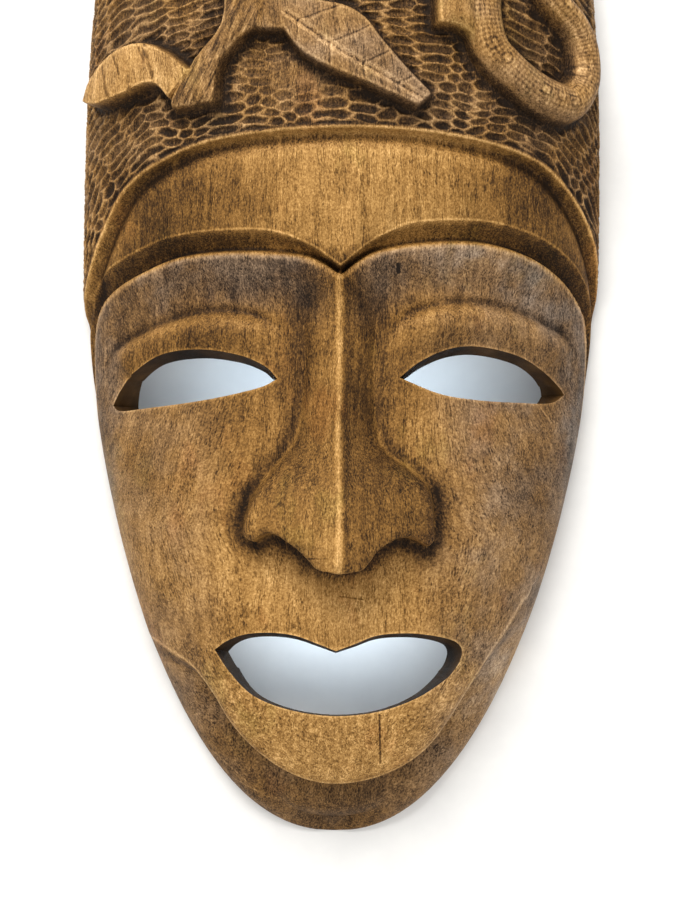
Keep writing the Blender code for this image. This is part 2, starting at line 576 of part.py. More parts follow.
def main():
    for thing in list(bpy.data.objects):
        bpy.data.objects.remove(thing)
    points, faces = closed_shell(*mask_grids())
    mask = make_object("mask", points, faces)
    face_outwards(mask)
    mask.data.materials.append(wood())
    triangles = sum(len(p.vertices) - 2 for p in mask.data.polygons)
    thin = mask.modifiers.new("facets", "DECIMATE")
    thin.ratio = TRIANGLES / triangles
    for name, runs, middle, lean in (("eye_left_cutter", EYE_LEFT, LEFT_EYE_AT, EYE_LEAN),
                                     ("eye_right_cutter", EYE_RIGHT, RIGHT_EYE_AT, EYE_LEAN),
                                     ("mouth_cutter", MOUTH, MOUTH_AT, MOUTH_LEAN)):
        plan_x, along = middle
        tool = cutter(name, runs, (plan_x * HALF, (along - 0.5) * LENGTH), lean)
        face_outwards(tool)
        cut = mask.modifiers.new(name, "BOOLEAN")
        cut.operation = "DIFFERENCE"
        cut.solver = "EXACT"
        cut.object = tool
    for polygon in mask.data.polygons:
        polygon.use_smooth = True


main()
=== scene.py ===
# %% [markdown]
# # A carved wooden face mask
# The mask is one half log, hollowed from the back and carved on the front: a face with
# pierced eyes and mouth, and a tall headdress with a branch, leaves and a snake in relief.
# The solid model comes first. It is loaded as a fixed frame, and it gives the place and
# the size of everything that follows.

# %% Load the solid model
import math

import bmesh
import bpy
import numpy as np
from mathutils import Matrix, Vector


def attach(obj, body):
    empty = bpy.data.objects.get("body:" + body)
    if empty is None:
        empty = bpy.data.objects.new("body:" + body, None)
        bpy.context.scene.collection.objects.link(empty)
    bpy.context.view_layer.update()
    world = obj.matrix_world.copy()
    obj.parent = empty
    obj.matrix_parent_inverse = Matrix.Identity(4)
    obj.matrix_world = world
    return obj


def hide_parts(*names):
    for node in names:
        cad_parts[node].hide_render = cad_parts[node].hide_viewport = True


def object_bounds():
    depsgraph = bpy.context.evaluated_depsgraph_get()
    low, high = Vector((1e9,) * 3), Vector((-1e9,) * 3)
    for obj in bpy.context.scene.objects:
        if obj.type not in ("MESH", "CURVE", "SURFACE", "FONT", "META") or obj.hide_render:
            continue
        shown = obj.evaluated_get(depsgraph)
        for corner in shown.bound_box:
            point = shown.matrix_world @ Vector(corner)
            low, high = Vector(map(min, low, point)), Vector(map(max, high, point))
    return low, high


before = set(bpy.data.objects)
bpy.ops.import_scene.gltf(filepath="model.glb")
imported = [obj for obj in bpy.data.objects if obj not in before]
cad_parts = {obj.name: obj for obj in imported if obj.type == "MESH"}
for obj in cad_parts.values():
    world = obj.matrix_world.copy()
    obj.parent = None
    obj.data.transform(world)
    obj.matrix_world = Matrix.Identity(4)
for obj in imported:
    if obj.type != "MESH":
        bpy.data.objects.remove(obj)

MM = 0.001
solid_box = [list(corner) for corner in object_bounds()]
print("solid model, corners in metres:", solid_box)

# %% [markdown]
# ## The bare half log
# Before any carving the blank is a half log: narrow at the chin, widest at the brow, round
# at the top. Its outline and its height are two curves over the length. A section across it
# is half an ellipse, a little squarer through the jaw. Places on it are shares: `across` runs
# from -1 to 1 along the surface of the log, `along` from 0 at the chin to 1 at the top.

# %% The log as a function of two shares
LENGTH = 400 * MM
WIDTH = 176 * MM
CROWN = 52 * MM
WALL = 13 * MM
BROW_AT = 0.47
FACE_NARROWING = 1.63
FACE_ROUNDNESS = 2.13
TOP_NARROWING = 3.4
TOP_ROUNDNESS = 2.1
SIDE_MARGIN = 0.9 * MM
TOP_MARGIN = 2.8 * MM
TOP_MARGIN_FROM = 0.85
CROWN_AT = 0.55
CHIN_FALL = 4.4
TOP_FALL = 4.0
ELLIPSE_POWER = 2
JAW_BOXINESS = 0.5
JAW_BOX_RUN = 0.17
HALF = WIDTH / 2
ARC_STEPS = 2001


def step(t):
    """Smooth rise from 0 to 1 as t goes from 0 to 1: 3 t squared less 2 t cubed."""
    t = np.clip(t, 0, 1)
    return t * t * (3 - 2 * t)


def bump(t):
    """Bell of height 1 over t = 0: e to the power of minus t squared."""
    return np.exp(-t * t)


def fade(value, start, end):
    """Smooth change from 0 at the start to 1 at the end, which may lie below the start."""
    return step((value - start) / (end - start))


def fade_at_ends(share, first, last):
    """0 at both ends of a line and 1 between, over these shares of its length."""
    return step(share / first) * step((1 - share) / last)


def half_width(along):
    """Half width of the log: one superellipse down to the chin, another up to the top."""
    face = np.clip((BROW_AT - along) / BROW_AT, 0, 1)
    top = np.clip((along - BROW_AT) / (1 - BROW_AT), 0, 1)
    narrow = (1 - face ** FACE_NARROWING) ** (1 / FACE_ROUNDNESS)
    narrow = narrow * (1 - top ** TOP_NARROWING) ** (1 / TOP_ROUNDNESS)
    return (HALF - SIDE_MARGIN) * narrow


def crown_height(along):
    """Height of the log on the middle line: it falls to the back rim at both ends."""
    chin = np.clip((CROWN_AT - along) / CROWN_AT, 0, 1)
    top = np.clip((along - CROWN_AT) / (1 - CROWN_AT), 0, 1)
    return CROWN * np.sqrt((1 - chin ** CHIN_FALL) * (1 - top ** TOP_FALL))


def section_angles(across):
    """Angles at which the quarter ellipse of the section reaches these shares of its arc."""
    fine = np.linspace(0, np.pi / 2, ARC_STEPS)
    speed = np.hypot(HALF * np.cos(fine), CROWN * np.sin(fine))
    run = np.concatenate([[0], np.cumsum((speed[1:] + speed[:-1]) / 2 * np.diff(fine))])
    return np.sign(across) * np.interp(np.abs(across) * run[-1], run, fine), run[-1]


def log_surface(across, along, inset=0.0):
    """Points of the half log: width times sine, height times the superellipse's cosine."""
    angle, _ = section_angles(across)
    squarer = ELLIPSE_POWER + JAW_BOXINESS * step((BROW_AT - along) / JAW_BOX_RUN)
    wide = np.maximum(half_width(along) - inset, 0)
    high = np.maximum(crown_height(along) - inset, 0)
    s = np.abs(np.sin(angle))
    up = np.where(s >= 1, 0.0, (1 - np.minimum(s, 1) ** squarer) ** (1 / squarer))
    up = np.where(np.abs(across) >= 1, 0.0, up)
    return np.stack([wide * np.sin(angle), np.zeros_like(wide), high * up], -1)


QUARTER = section_angles(np.zeros(1))[1]
ON_LOG = np.array([QUARTER, LENGTH])
IN_PLAN = np.array([HALF, LENGTH])
print("arc from the middle line to the rim:", round(QUARTER / MM, 1), "mm")

# %% [markdown]
# ## The carved lines
# A carver draws the face on the blank before cutting it. The same is done here: each line is
# a smooth curve through a few places on the log. The distance of every point of the surface
# from every line is what shapes the relief later, and it also tells the finish where a
# hollow, an edge or a ridge is. Distances are better than painted masks, because they stay
# sharp at any size.

# %% Curves, and distances from them
def run_through(points, steps=6):
    """Catmull-Rom curve through the points, with steps samples to a span."""
    p = np.array(points, float)
    p = np.vstack([2 * p[0] - p[1], p, 2 * p[-1] - p[-2]])
    t = np.linspace(0, 1, steps, endpoint=False)[:, None]
    spans = []
    for a, b, c, d in zip(p[:-3], p[1:-2], p[2:-1], p[3:]):
        spans.append(0.5 * (2 * b + (c - a) * t + (2 * a - 5 * b + 4 * c - d) * t ** 2
                            + (3 * b - a - 3 * c + d) * t ** 3))
    return np.vstack(spans + [p[-2:-1]])


def polyline_length(points):
    """Length of a line through points."""
    return np.hypot(*np.diff(points, axis=0).T).sum()


def outline_of(runs, steps=6):
    """Closed outline from smooth runs that meet in corners."""
    return np.vstack([run_through(run, steps)[:-1] for run in runs])


def reach(line, x, y, closed=False):
    """Signed distance of each place from a line, and the share of the line that it is at.

    The nearest of all the line's straight pieces counts. The sign is positive to the left
    of the line's direction, or inside a closed line.
    """
    ends = np.vstack([line, line[:1]]) if closed else line
    start, go = ends[:-1], np.diff(ends, axis=0)
    keep = (go ** 2).sum(1) > 0
    start, go = start[keep], go[keep]
    best = np.full(x.shape, np.inf)
    side = np.zeros(x.shape)
    share = np.zeros(x.shape)
    odd = np.zeros(x.shape, bool)
    length = np.hypot(go[:, 0], go[:, 1])
    before = np.concatenate([[0], np.cumsum(length)])
    for (sx, sy), (gx, gy), size, done in zip(start, go, length, before):
        rx, ry = x - sx, y - sy
        t = np.clip((rx * gx + ry * gy) / size ** 2, 0, 1)
        away = (rx - t * gx) ** 2 + (ry - t * gy) ** 2
        nearer = away < best
        best = np.where(nearer, away, best)
        side = np.where(nearer, gx * ry - gy * rx, side)
        share = np.where(nearer, (done + t * size) / before[-1], share)
        if closed:
            crosses = (sy > y) != (sy + gy > y)
            odd ^= crosses & (rx < gx * ry / (gy if gy else 1))
    side = np.where(odd, 1.0, -1.0) if closed else np.sign(side)
    return np.sqrt(best) * side, share


HAIRLINE = [(-1.0, 0.43), (-0.87, 0.462), (-0.776, 0.50), (-0.666, 0.539), (-0.525, 0.561),
            (-0.342, 0.576), (0.0, 0.584), (0.324, 0.580), (0.578, 0.565), (0.734, 0.536),
            (0.865, 0.497), (0.94, 0.465), (1.0, 0.44)]
RIDGE_LEFT = [(-1.06, 0.30), (-0.99, 0.335), (-0.94, 0.362), (-0.91, 0.388), (-0.88, 0.42),
              (-0.83, 0.443), (-0.75, 0.458), (-0.62, 0.4715), (-0.487, 0.482),
              (-0.30, 0.4855), (-0.12, 0.4825), (-0.05, 0.476), (0.0, 0.467)]
RIDGE_RIGHT = [(0.0, 0.467), (0.045, 0.4775), (0.112, 0.487), (0.25, 0.494), (0.42, 0.496),
               (0.58, 0.488), (0.706, 0.4735), (0.80, 0.456), (0.87, 0.436), (0.91, 0.408),
               (0.94, 0.372), (0.99, 0.340), (1.06, 0.31)]
CREASE_LEFT = [(-0.83, 0.385), (-0.80, 0.408), (-0.69, 0.423), (-0.527, 0.436),
               (-0.385, 0.441), (-0.254, 0.436), (-0.15, 0.420)]
CREASE_RIGHT = [(0.125, 0.412), (0.187, 0.434), (0.25, 0.444), (0.373, 0.4505),
                (0.521, 0.448), (0.687, 0.437), (0.80, 0.423), (0.85, 0.395)]
BRANCH = [[(-0.482, 0.597), (-0.476, 0.610), (-0.413, 0.639), (-0.346, 0.664),
           (-0.335, 0.70), (-0.30, 0.75), (-0.22, 0.81), (-0.13, 0.865)],
          [(-0.13, 0.865), (-0.03, 0.855)],
          [(-0.03, 0.855), (-0.12, 0.80), (-0.19, 0.74), (-0.215, 0.70), (-0.224, 0.659)],
          [(-0.224, 0.659), (-0.267, 0.655), (-0.331, 0.636), (-0.347, 0.62),
           (-0.349, 0.601)],
          [(-0.349, 0.601), (-0.482, 0.597)]]
WEB = [[(-0.24, 0.657), (-0.13, 0.660), (-0.12, 0.690), (-0.23, 0.71), (-0.24, 0.657)]]
LOW_LEAF = [[(-0.797, 0.613), (-0.761, 0.632), (-0.671, 0.650), (-0.58, 0.654),
             (-0.50, 0.645), (-0.42, 0.628)],
            [(-0.42, 0.628), (-0.485, 0.605)],
            [(-0.485, 0.605), (-0.524, 0.617), (-0.566, 0.6185), (-0.628, 0.613),
             (-0.713, 0.608), (-0.765, 0.609), (-0.797, 0.613)]]
BIG_LEAF = [[(-0.18, 0.662), (-0.142, 0.647), (-0.108, 0.637), (-0.036, 0.626),
             (0.06, 0.615), (0.201, 0.598)],
            [(0.201, 0.598), (0.244, 0.609)],
            [(0.244, 0.609), (0.173, 0.629), (0.105, 0.651), (0.06, 0.667), (0.0, 0.677),
             (-0.09, 0.682), (-0.18, 0.690)],
            [(-0.18, 0.690), (-0.18, 0.662)]]
BIG_MIDRIB = [(-0.158, 0.670), (-0.011, 0.641), (0.135, 0.618), (0.216, 0.605)]
STUB = [[(0.25, 0.74), (0.252, 0.664)],
        [(0.252, 0.664), (0.315, 0.662), (0.365, 0.652)],
        [(0.365, 0.652), (0.375, 0.70), (0.37, 0.75)],
        [(0.37, 0.75), (0.25, 0.74)]]
SNAKE_LINE = [(0.16, 0.775), (0.28, 0.79), (0.38, 0.765), (0.41, 0.72), (0.393, 0.68),
              (0.413, 0.651), (0.469, 0.635), (0.53, 0.623), (0.599, 0.615), (0.672, 0.614),
              (0.724, 0.629), (0.738, 0.645), (0.728, 0.663), (0.692, 0.679), (0.612, 0.698),
              (0.53, 0.73), (0.50, 0.77), (0.46, 0.82), (0.36, 0.86), (0.24, 0.875)]
SNAKE_GIRTH = [0.25, 0.5, 0.75, 0.9, 1.0, 1.15, 1.2, 1.2, 1.25, 1.2,
               1.0, 0.9, 0.9, 0.9, 0.9, 0.95, 0.95, 0.95, 0.9, 0.9]
SNAKE_HEAD = (0.20, 0.878)
HIGH_LEAVES = [((-0.26, 0.740), (-0.74, 0.80), 21 * MM), ((-0.17, 0.80), (-0.52, 0.90), 22 * MM),
               ((-0.04, 0.80), (0.09, 0.945), 21 * MM)]
LEAF_POINTS = 13
LEAF_BELLY = 0.8
LEAF_FULLNESS = 0.9
NOSE = [[(0.0, 0.475), (-0.13, 0.44), (-0.135, 0.40), (-0.15, 0.355), (-0.175, 0.335),
         (-0.234, 0.318), (-0.31, 0.297), (-0.352, 0.276), (-0.358, 0.262),
         (-0.337, 0.255), (-0.300, 0.2525)],
        [(-0.300, 0.2525), (-0.248, 0.259), (-0.201, 0.257), (-0.145, 0.249),
         (-0.10, 0.240), (-0.072, 0.2345), (0.016, 0.2325), (0.09, 0.2345),
         (0.118, 0.240), (0.15, 0.2495), (0.20, 0.2565), (0.26, 0.2575), (0.335, 0.250)],
        [(0.335, 0.250), (0.362, 0.258), (0.370, 0.273), (0.360, 0.291), (0.327, 0.306),
         (0.255, 0.3185), (0.175, 0.331), (0.14, 0.355), (0.13, 0.40), (0.13, 0.44),
         (0.0, 0.475)]]
LIP_PLATE = [(-0.72, 0.168), (-0.65, 0.156), (-0.57, 0.1425), (-0.49, 0.121), (-0.425, 0.098),
             (-0.335, 0.0765), (-0.20, 0.056), (-0.05, 0.0445), (0.095, 0.046),
             (0.25, 0.057), (0.373, 0.0745), (0.455, 0.0975), (0.530, 0.125),
             (0.625, 0.160), (0.70, 0.188), (0.755, 0.212)]


def leaf_outline(base, tip, width):
    """Almond outline: half the width times a stretched half sine wave, on both sides."""
    t = np.linspace(0, 1, LEAF_POINTS)[:, None]
    middle = base + (tip - base) * t
    square = np.array([-(tip - base)[1], (tip - base)[0]])
    square = square / np.hypot(*square)
    belly = width / 2 * np.abs(np.sin(np.pi * t ** LEAF_BELLY)) ** LEAF_FULLNESS
    return np.vstack([middle + square * belly, (middle - square * belly)[-2:0:-1]])


def lines_at(across, along):
    """Signed distance in metres of each place from every carved line, by name."""
    u, y = across * QUARTER, along * LENGTH
    x = log_surface(across, along)[..., 0]
    ridge = np.vstack([run_through(RIDGE_LEFT)[:-1], run_through(RIDGE_RIGHT)])
    far = {}
    for name, line in (("hair", run_through(HAIRLINE)), ("ridge", ridge),
                       ("crease_left", run_through(CREASE_LEFT)),
                       ("crease_right", run_through(CREASE_RIGHT)),
                       ("midrib", run_through(BIG_MIDRIB)),
                       ("snake", run_through(SNAKE_LINE))):
        far[name], far[name + "_share"] = reach(line * ON_LOG, u, y)
    for name in ("midrib", "snake"):
        far[name] = np.abs(far[name])
    for name, runs in (("branch", BRANCH), ("stub", STUB), ("web", WEB),
                       ("low_leaf", LOW_LEAF), ("big_leaf", BIG_LEAF)):
        far[name], _ = reach(outline_of(runs) * ON_LOG, u, y, closed=True)
    far["high_leaf"] = np.full(x.shape, -1.0)
    far["high_rib"] = np.full(x.shape, 1.0)
    for base, tip, width in HIGH_LEAVES:
        ends = np.array([base, tip]) * ON_LOG
        leaf, _ = reach(leaf_outline(ends[0], ends[1], width), u, y, closed=True)
        rib, _ = reach(ends, u, y)
        far["high_rib"] = np.where(leaf > far["high_leaf"], np.abs(rib), far["high_rib"])
        far["high_leaf"] = np.maximum(far["high_leaf"], leaf)
    far["nose"], _ = reach(outline_of(NOSE) * IN_PLAN, x, y, closed=True)
    far["lip"], far["lip_share"] = reach(run_through(LIP_PLATE) * IN_PLAN, x, y)
    return far


HAIR_LENGTH = polyline_length(run_through(HAIRLINE) * ON_LOG)
print("hairline:", round(HAIR_LENGTH / MM), "mm long")

# %% [markdown]
# ## The gouge marks
# The ground of the headdress is covered with short gouge cuts. They lie in courses that
# follow the hairline, each cut staggered against the ones above and below, so their sharp
# borders make a net of long six-sided cells. The net is worked out in two coordinates, one
# along the courses and one across them. A smooth random field bends both a little, because
# no two cuts of a hand gouge are alike.

# %% Cells of the gouge marks
CELL_LENGTH = 14 * MM     # from one cut to the next one in the same row
CELL_HEIGHT = 3.1 * MM
CELL_STRETCH = 3          # how much more the distance along a cell counts than across it
CELL_SLANT = (1.5, 0.5)   # the slope of the slanted sides
CELL_CORNER = 6           # how sharp the corners are
GOUGE_DEPTH = 1.1 * MM
SCOOP_POWER = 2.5
# How far the net wanders, in cells, the size of the random field, and its seed.
WANDER_ALONG = [(0.36, 11 * MM, 1), (0.10, 4 * MM, 2)]
WANDER_ACROSS = [(0.46, 13 * MM, 3), (0.22, 5 * MM, 4)]
FIELD_ROWS, FIELD_COLUMNS = 97, 89


def cloud(x, y, size, seed):
    """Smooth random field from -1 to 1: random values on a lattice, blended by step."""
    table = np.random.default_rng(seed).uniform(-1, 1, (FIELD_ROWS, FIELD_COLUMNS))
    gx, gy = x / size, y / size
    i, j = np.floor(gx).astype(int), np.floor(gy).astype(int)
    fx, fy = step(gx - i), step(gy - j)
    at = lambda a, b: table[a % FIELD_ROWS, b % FIELD_COLUMNS]
    low = at(i, j) * (1 - fx) + at(i + 1, j) * fx
    high = at(i, j + 1) * (1 - fx) + at(i + 1, j + 1) * fx
    return low * (1 - fy) + high * fy


def course_places(far, across, along):
    """Places in the net of cells, in cells along a course and in courses."""
    u, y = across * QUARTER, along * LENGTH
    s = far["hair_share"] * HAIR_LENGTH / CELL_LENGTH
    w = far["hair"] / CELL_HEIGHT
    s = s + sum(amount * cloud(u, y, size, seed) for amount, size, seed in WANDER_ALONG)
    w = w + sum(amount * cloud(u, y, size, seed) for amount, size, seed in WANDER_ACROSS)
    return s, w


def cell_edge(s, w):
    """0 in the middle of a cell and 1 on its border, for long six-sided cells."""
    first = np.stack([(s % 1.0) - 0.5, (w % 1.0) - 0.5])
    other = np.stack([((s - 0.5) % 1.0) - 0.5, ((w - 0.5) % 1.0) - 0.5])
    size = lambda p: CELL_STRETCH * p[0] ** 2 + p[1] ** 2
    a, b = np.abs(np.where(size(first) < size(other), first, other))
    slanted = CELL_SLANT[0] * a + CELL_SLANT[1] * b
    return 2 * (slanted ** CELL_CORNER + b ** CELL_CORNER) ** (1 / CELL_CORNER)


wandering = cloud(np.linspace(-1, 1, 50) * QUARTER, np.full(50, LENGTH / 2), *WANDER_ALONG[0][1:])
print("the net wanders by up to", round(np.ptp(wandering) * WANDER_ALONG[0][0], 2), "cells")

# %% [markdown]
# ## The relief
# Every carved form raises or lowers the log along its own normal. The heights are sums of
# simple profiles of the distances: a steep step for a cut wall, a bell for a crease, a
# slope for a valley, and a ridge that rises towards the tip of the nose. The heights are the
# ones of the solid model, with the gouge marks, the bark and the veins cut into them.

# %% Heights of the carving
HAIR_RAISE = 3.2 * MM
HAIR_RAISE_AT_RIM = 0.3
HAIR_EDGE = 0.16
COVE_DEPTH = 1.3 * MM
COVE_WIDTH = 4.5 * MM
GROOVE_WIDTH = 7.2 * MM
GROOVE_DEPTH = 5.2 * MM
GROOVE_AT_NOSE = 2.4 * MM
GROOVE_OPENS = 26 * MM
GROOVE_FLOOR = 0.22
GROOVE_CURVE = 1.4
RIDGE_DROP = 1.4 * MM
SOCKET_DEPTH = 5.5 * MM
SOCKET_EDGE = 0.34
PANEL_FALL = 15 * MM
CREASE_DEPTH = 1.6 * MM
CREASE_WIDTH = 1.8 * MM
CREASE_FADE = 0.2
LID_BULGE = 2.6 * MM
LID_UNDER_CREASE = 7 * MM
LID_WIDTH = 6 * MM
NOSE_HEIGHT = 24 * MM
NOSE_TIP_AT = 0.234
NOSE_CURVE = 1.2
WING_TOP_AT = 0.335
WING_RUN = 0.05
WING_WALL = 6.5 * MM
WING_WALL_RUN = 3.0 * MM
NOSE_SIDE_RUN = 1.6 * MM
NOSE_FOOT_AT = 0.272
NOSE_FOOT_RUN = 0.015
NOSE_CREST = (-0.7 * MM, 0.5 * MM)
HOLLOW_UNDER_NOSE = 3.0 * MM
HOLLOW_AT = 0.222
HOLLOW_LENGTH = 0.022
HOLLOW_WIDTH = 0.24
LIP_RAISE = 2.0 * MM
LIPS_AT = 0.13
LIPS_LENGTH = 0.06
LIPS_WIDTH = 0.55
LIP_EDGE = 4 * MM
JAW_VALLEY = 7.5 * MM
JAW_VALLEY_WALL = 4.0 * MM
JAW_VALLEY_WIDTH = 17 * MM
JAW_FADE = 22 * MM
VALLEY_LEFT_FADE = 0.22
VALLEY_RIGHT_FADE = 0.32
BRANCH_HEIGHT = 7.5 * MM
BRANCH_ROUNDING = 7 * MM
STUB_ROUNDING = 5 * MM
FLAT_SHARE = 0.55
LEAF_HEIGHT = 6.5 * MM
WEB_HEIGHT = 5.5 * MM
MIDRIB_DEPTH = 0.9 * MM
MIDRIB_WIDTH = 0.8 * MM
SNAKE_HEIGHT = 8.5 * MM
SNAKE_BODY = 11 * MM
SNAKE_TAPER = 0.3
SNAKE_HEAD_SIZE = (11 * MM, 8 * MM)
CUT_WALL = 1.4 * MM
RIM_FADE = 5 * MM
BARK_DEPTH = 0.5 * MM
BARK_GRAIN = 1.6 * MM
BARK_LEAN = 0.25
BARK_STRETCH = 0.2        # the bark's lines are five times as long as they are wide
BARK_SEED = 5
GOUGES_FROM = 0.6 * MM
GOUGES_FULL = 1.8 * MM
GOUGES_KEEP_OFF = 0.5 * MM
GOUGES_OFF_FULL = 2.5 * MM
SMOOTH_PLACE = (-14 * MM, 250 * MM)
SMOOTH_SIZE = (17 * MM, 8 * MM)


def groove_width(across):
    """Width of the groove over the brow: narrow over the nose, full a little further out."""
    opening = step(np.abs(across) * QUARTER / GROOVE_OPENS)
    return GROOVE_AT_NOSE + (GROOVE_WIDTH - GROOVE_AT_NOSE) * opening


def brow_relief(far, across):
    """Forehead at 0, a groove over the brow ridge, panels that fall into the sockets."""
    t = np.clip(far["ridge"] / groove_width(across), 0, 1)
    up = RIDGE_DROP + (GROOVE_DEPTH - RIDGE_DROP) * step(t / GROOVE_FLOOR)
    slope = np.clip((t - GROOVE_FLOOR) / (1 - GROOVE_FLOOR), 0, 1)
    down = GROOVE_DEPTH * (1 - slope ** GROOVE_CURVE)
    forehead = -np.where(t < GROOVE_FLOOR, up, down)
    under = np.clip(-far["ridge"], 0, None)
    panel = -RIDGE_DROP - (SOCKET_DEPTH - RIDGE_DROP) * step(under / PANEL_FALL)
    panel = panel * step((1 - np.abs(across)) / SOCKET_EDGE)
    height = np.where(far["ridge"] > 0, forehead, panel)
    for name in ("crease_left", "crease_right"):
        along_it = fade_at_ends(far[name + "_share"], CREASE_FADE, CREASE_FADE)
        height = height - CREASE_DEPTH * along_it * bump(far[name] / CREASE_WIDTH)
        lid = bump((-far[name] - LID_UNDER_CREASE) / LID_WIDTH)
        height = height + LID_BULGE * along_it * lid
    return height


def off_crest(x, along):
    """Distance to the right of the nose's ridge, which drifts a little to the right."""
    down = np.clip((BROW_AT - along) / (BROW_AT - NOSE_TIP_AT), 0, 1)
    return x - NOSE_CREST[0] - (NOSE_CREST[1] - NOSE_CREST[0]) * down


def nose_relief(far, x, along):
    """A flat slope from each side's outline up to the ridge, on a wall round the wings."""
    inside = np.clip(far["nose"], 0, None)
    down = np.clip((BROW_AT - along) / (BROW_AT - NOSE_TIP_AT), 0, 1)
    at_brow = SOCKET_DEPTH - RIDGE_DROP
    ridge = at_brow + (NOSE_HEIGHT - at_brow) * down ** NOSE_CURVE
    left, right = run_through(NOSE[0])[::-1].T, run_through(NOSE[2]).T
    from_crest = off_crest(x, along)
    foot = np.where(from_crest < 0, np.interp(along, left[1], left[0]),
                    np.interp(along, right[1], right[0])) * HALF
    wide = np.maximum(np.abs(foot - x + from_crest), CUT_WALL)
    slope = 1 - np.clip(np.abs(from_crest) / wide, 0, 1)
    wings = step((WING_TOP_AT - along) / WING_RUN)
    wall = WING_WALL * wings
    run = NOSE_SIDE_RUN + (WING_WALL_RUN - NOSE_SIDE_RUN) * wings
    run = run + (CUT_WALL - run) * step((NOSE_FOOT_AT - along) / NOSE_FOOT_RUN)
    return (wall + (ridge - wall) * slope) * step(inside / run)


def jaw_relief(far, x, z, along):
    """Lips a little proud, a valley outside the lip plate, a hollow under the nose."""
    outside = -far["lip"]
    along_it = fade_at_ends(far["lip_share"], VALLEY_LEFT_FADE, VALLEY_RIGHT_FADE)
    valley = -JAW_VALLEY * along_it * step(outside / JAW_VALLEY_WALL)
    spent = (outside - JAW_VALLEY_WALL) / (JAW_VALLEY_WIDTH - JAW_VALLEY_WALL)
    valley = valley * (1 - step(spent)) * step(z / JAW_FADE)
    lips = LIP_RAISE * bump(x / (LIPS_WIDTH * HALF)) * bump((along - LIPS_AT) / LIPS_LENGTH)
    lips = lips * step(0.5 - outside / LIP_EDGE)
    hollow = bump(x / (HOLLOW_WIDTH * HALF)) * bump((along - HOLLOW_AT) / HOLLOW_LENGTH)
    return valley + lips - HOLLOW_UNDER_NOSE * hollow


def raised(inside, height, rounding=0.0):
    """A steep wall at the outline, then flat, or a quarter circle over the rounding."""
    lift = step((inside + CUT_WALL / 2) / CUT_WALL)
    if rounding:
        dome = np.sqrt(1 - (1 - np.clip(inside / rounding, 0, 1)) ** 2)
        lift = lift * (FLAT_SHARE + (1 - FLAT_SHARE) * dome)
    return height * lift


def snake_half_width(far):
    """Half the width of the snake's body, from its girth at the nearest place of its line."""
    girth = run_through([(g, 0) for g in SNAKE_GIRTH])[:, 0] * SNAKE_BODY / 2
    return np.interp(far["snake_share"], np.linspace(0, 1, len(girth)), girth)


def snake_relief(far, u, y):
    """Half a circle over the body's line, as wide as its girth there, and a flat head."""
    half = snake_half_width(far)
    body = np.sqrt(np.clip(1 - (far["snake"] / half) ** 2, 0, 1))
    body = body * step(half / (SNAKE_TAPER * SNAKE_BODY))
    middle_u, middle_y = np.array(SNAKE_HEAD) * ON_LOG
    long, wide = SNAKE_HEAD_SIZE
    skull = ((u - middle_u) / long) ** 2 + ((y - middle_y) / wide) ** 2
    return SNAKE_HEIGHT * np.maximum(body, np.sqrt(np.clip(1 - skull, 0, 1)))


def headdress_relief(far, across, along):
    """Raised ground with gouge marks, and the branch, leaves and snake on it."""
    u, y = across * QUARTER, along * LENGTH
    above = far["hair"]
    middle = step((1 - np.abs(across)) / HAIR_EDGE)
    ground = HAIR_RAISE * (HAIR_RAISE_AT_RIM + (1 - HAIR_RAISE_AT_RIM) * middle)
    ground = ground * step((above + CUT_WALL) / CUT_WALL)
    ground = ground - COVE_DEPTH * bump((above + COVE_WIDTH / 2) / (COVE_WIDTH / 2))
    edge = cell_edge(*course_places(far, across, along))
    scoop = GOUGE_DEPTH * (1 - np.clip(edge, 0, 1) ** SCOOP_POWER)
    scoop = scoop * gouged(far, across, along)
    high = snake_relief(far, u, y)
    bark = BARK_DEPTH * cloud(u + BARK_LEAN * y, BARK_STRETCH * y, BARK_GRAIN, BARK_SEED)
    high = np.maximum(high, raised(far["branch"], BRANCH_HEIGHT, BRANCH_ROUNDING)
                      + bark * step(far["branch"] / MM))
    high = np.maximum(high, raised(far["stub"], BRANCH_HEIGHT, STUB_ROUNDING))
    high = np.maximum(high, raised(far["web"], WEB_HEIGHT))
    high = np.maximum(high, raised(far["low_leaf"], LEAF_HEIGHT))
    for leaf, rib in (("big_leaf", far["midrib"]), ("high_leaf", far["high_rib"])):
        flat = raised(far[leaf], LEAF_HEIGHT)
        vein = MIDRIB_DEPTH * bump(rib / MIDRIB_WIDTH) * (flat > MIDRIB_DEPTH)
        high = np.maximum(high, flat - vein)
    return ground + high - scoop * step(1 - high / MM)


def relief_outline(far):
    """Signed distance from the edge of whatever stands on the headdress ground."""
    inside = snake_half_width(far) - far["snake"]
    for name in ("branch", "stub", "web", "low_leaf", "big_leaf", "high_leaf"):
        inside = np.maximum(inside, far[name])
    return inside


def gouged(far, across, along):
    """1 where the ground is gouged, 0 on the face and on the smooth places."""
    u, y = across * QUARTER, along * LENGTH
    amount = fade(far["hair"], GOUGES_FROM, GOUGES_FULL)
    between = bump((u - SMOOTH_PLACE[0]) / SMOOTH_SIZE[0])
    between = between * bump((y - SMOOTH_PLACE[1]) / SMOOTH_SIZE[1])
    clear = fade(-relief_outline(far), GOUGES_KEEP_OFF, GOUGES_OFF_FULL)
    return amount * (1 - between) * clear


def carved_relief(far, across, along):
    """Height of the whole carving along the normal, dying out at the back rim."""
    bare = log_surface(across, along)
    x, z = bare[..., 0], bare[..., 2]
    height = brow_relief(far, across) + headdress_relief(far, across, along)
    height = height + nose_relief(far, x, along) + jaw_relief(far, x, z, along)
    return height * step(z / RIM_FADE)


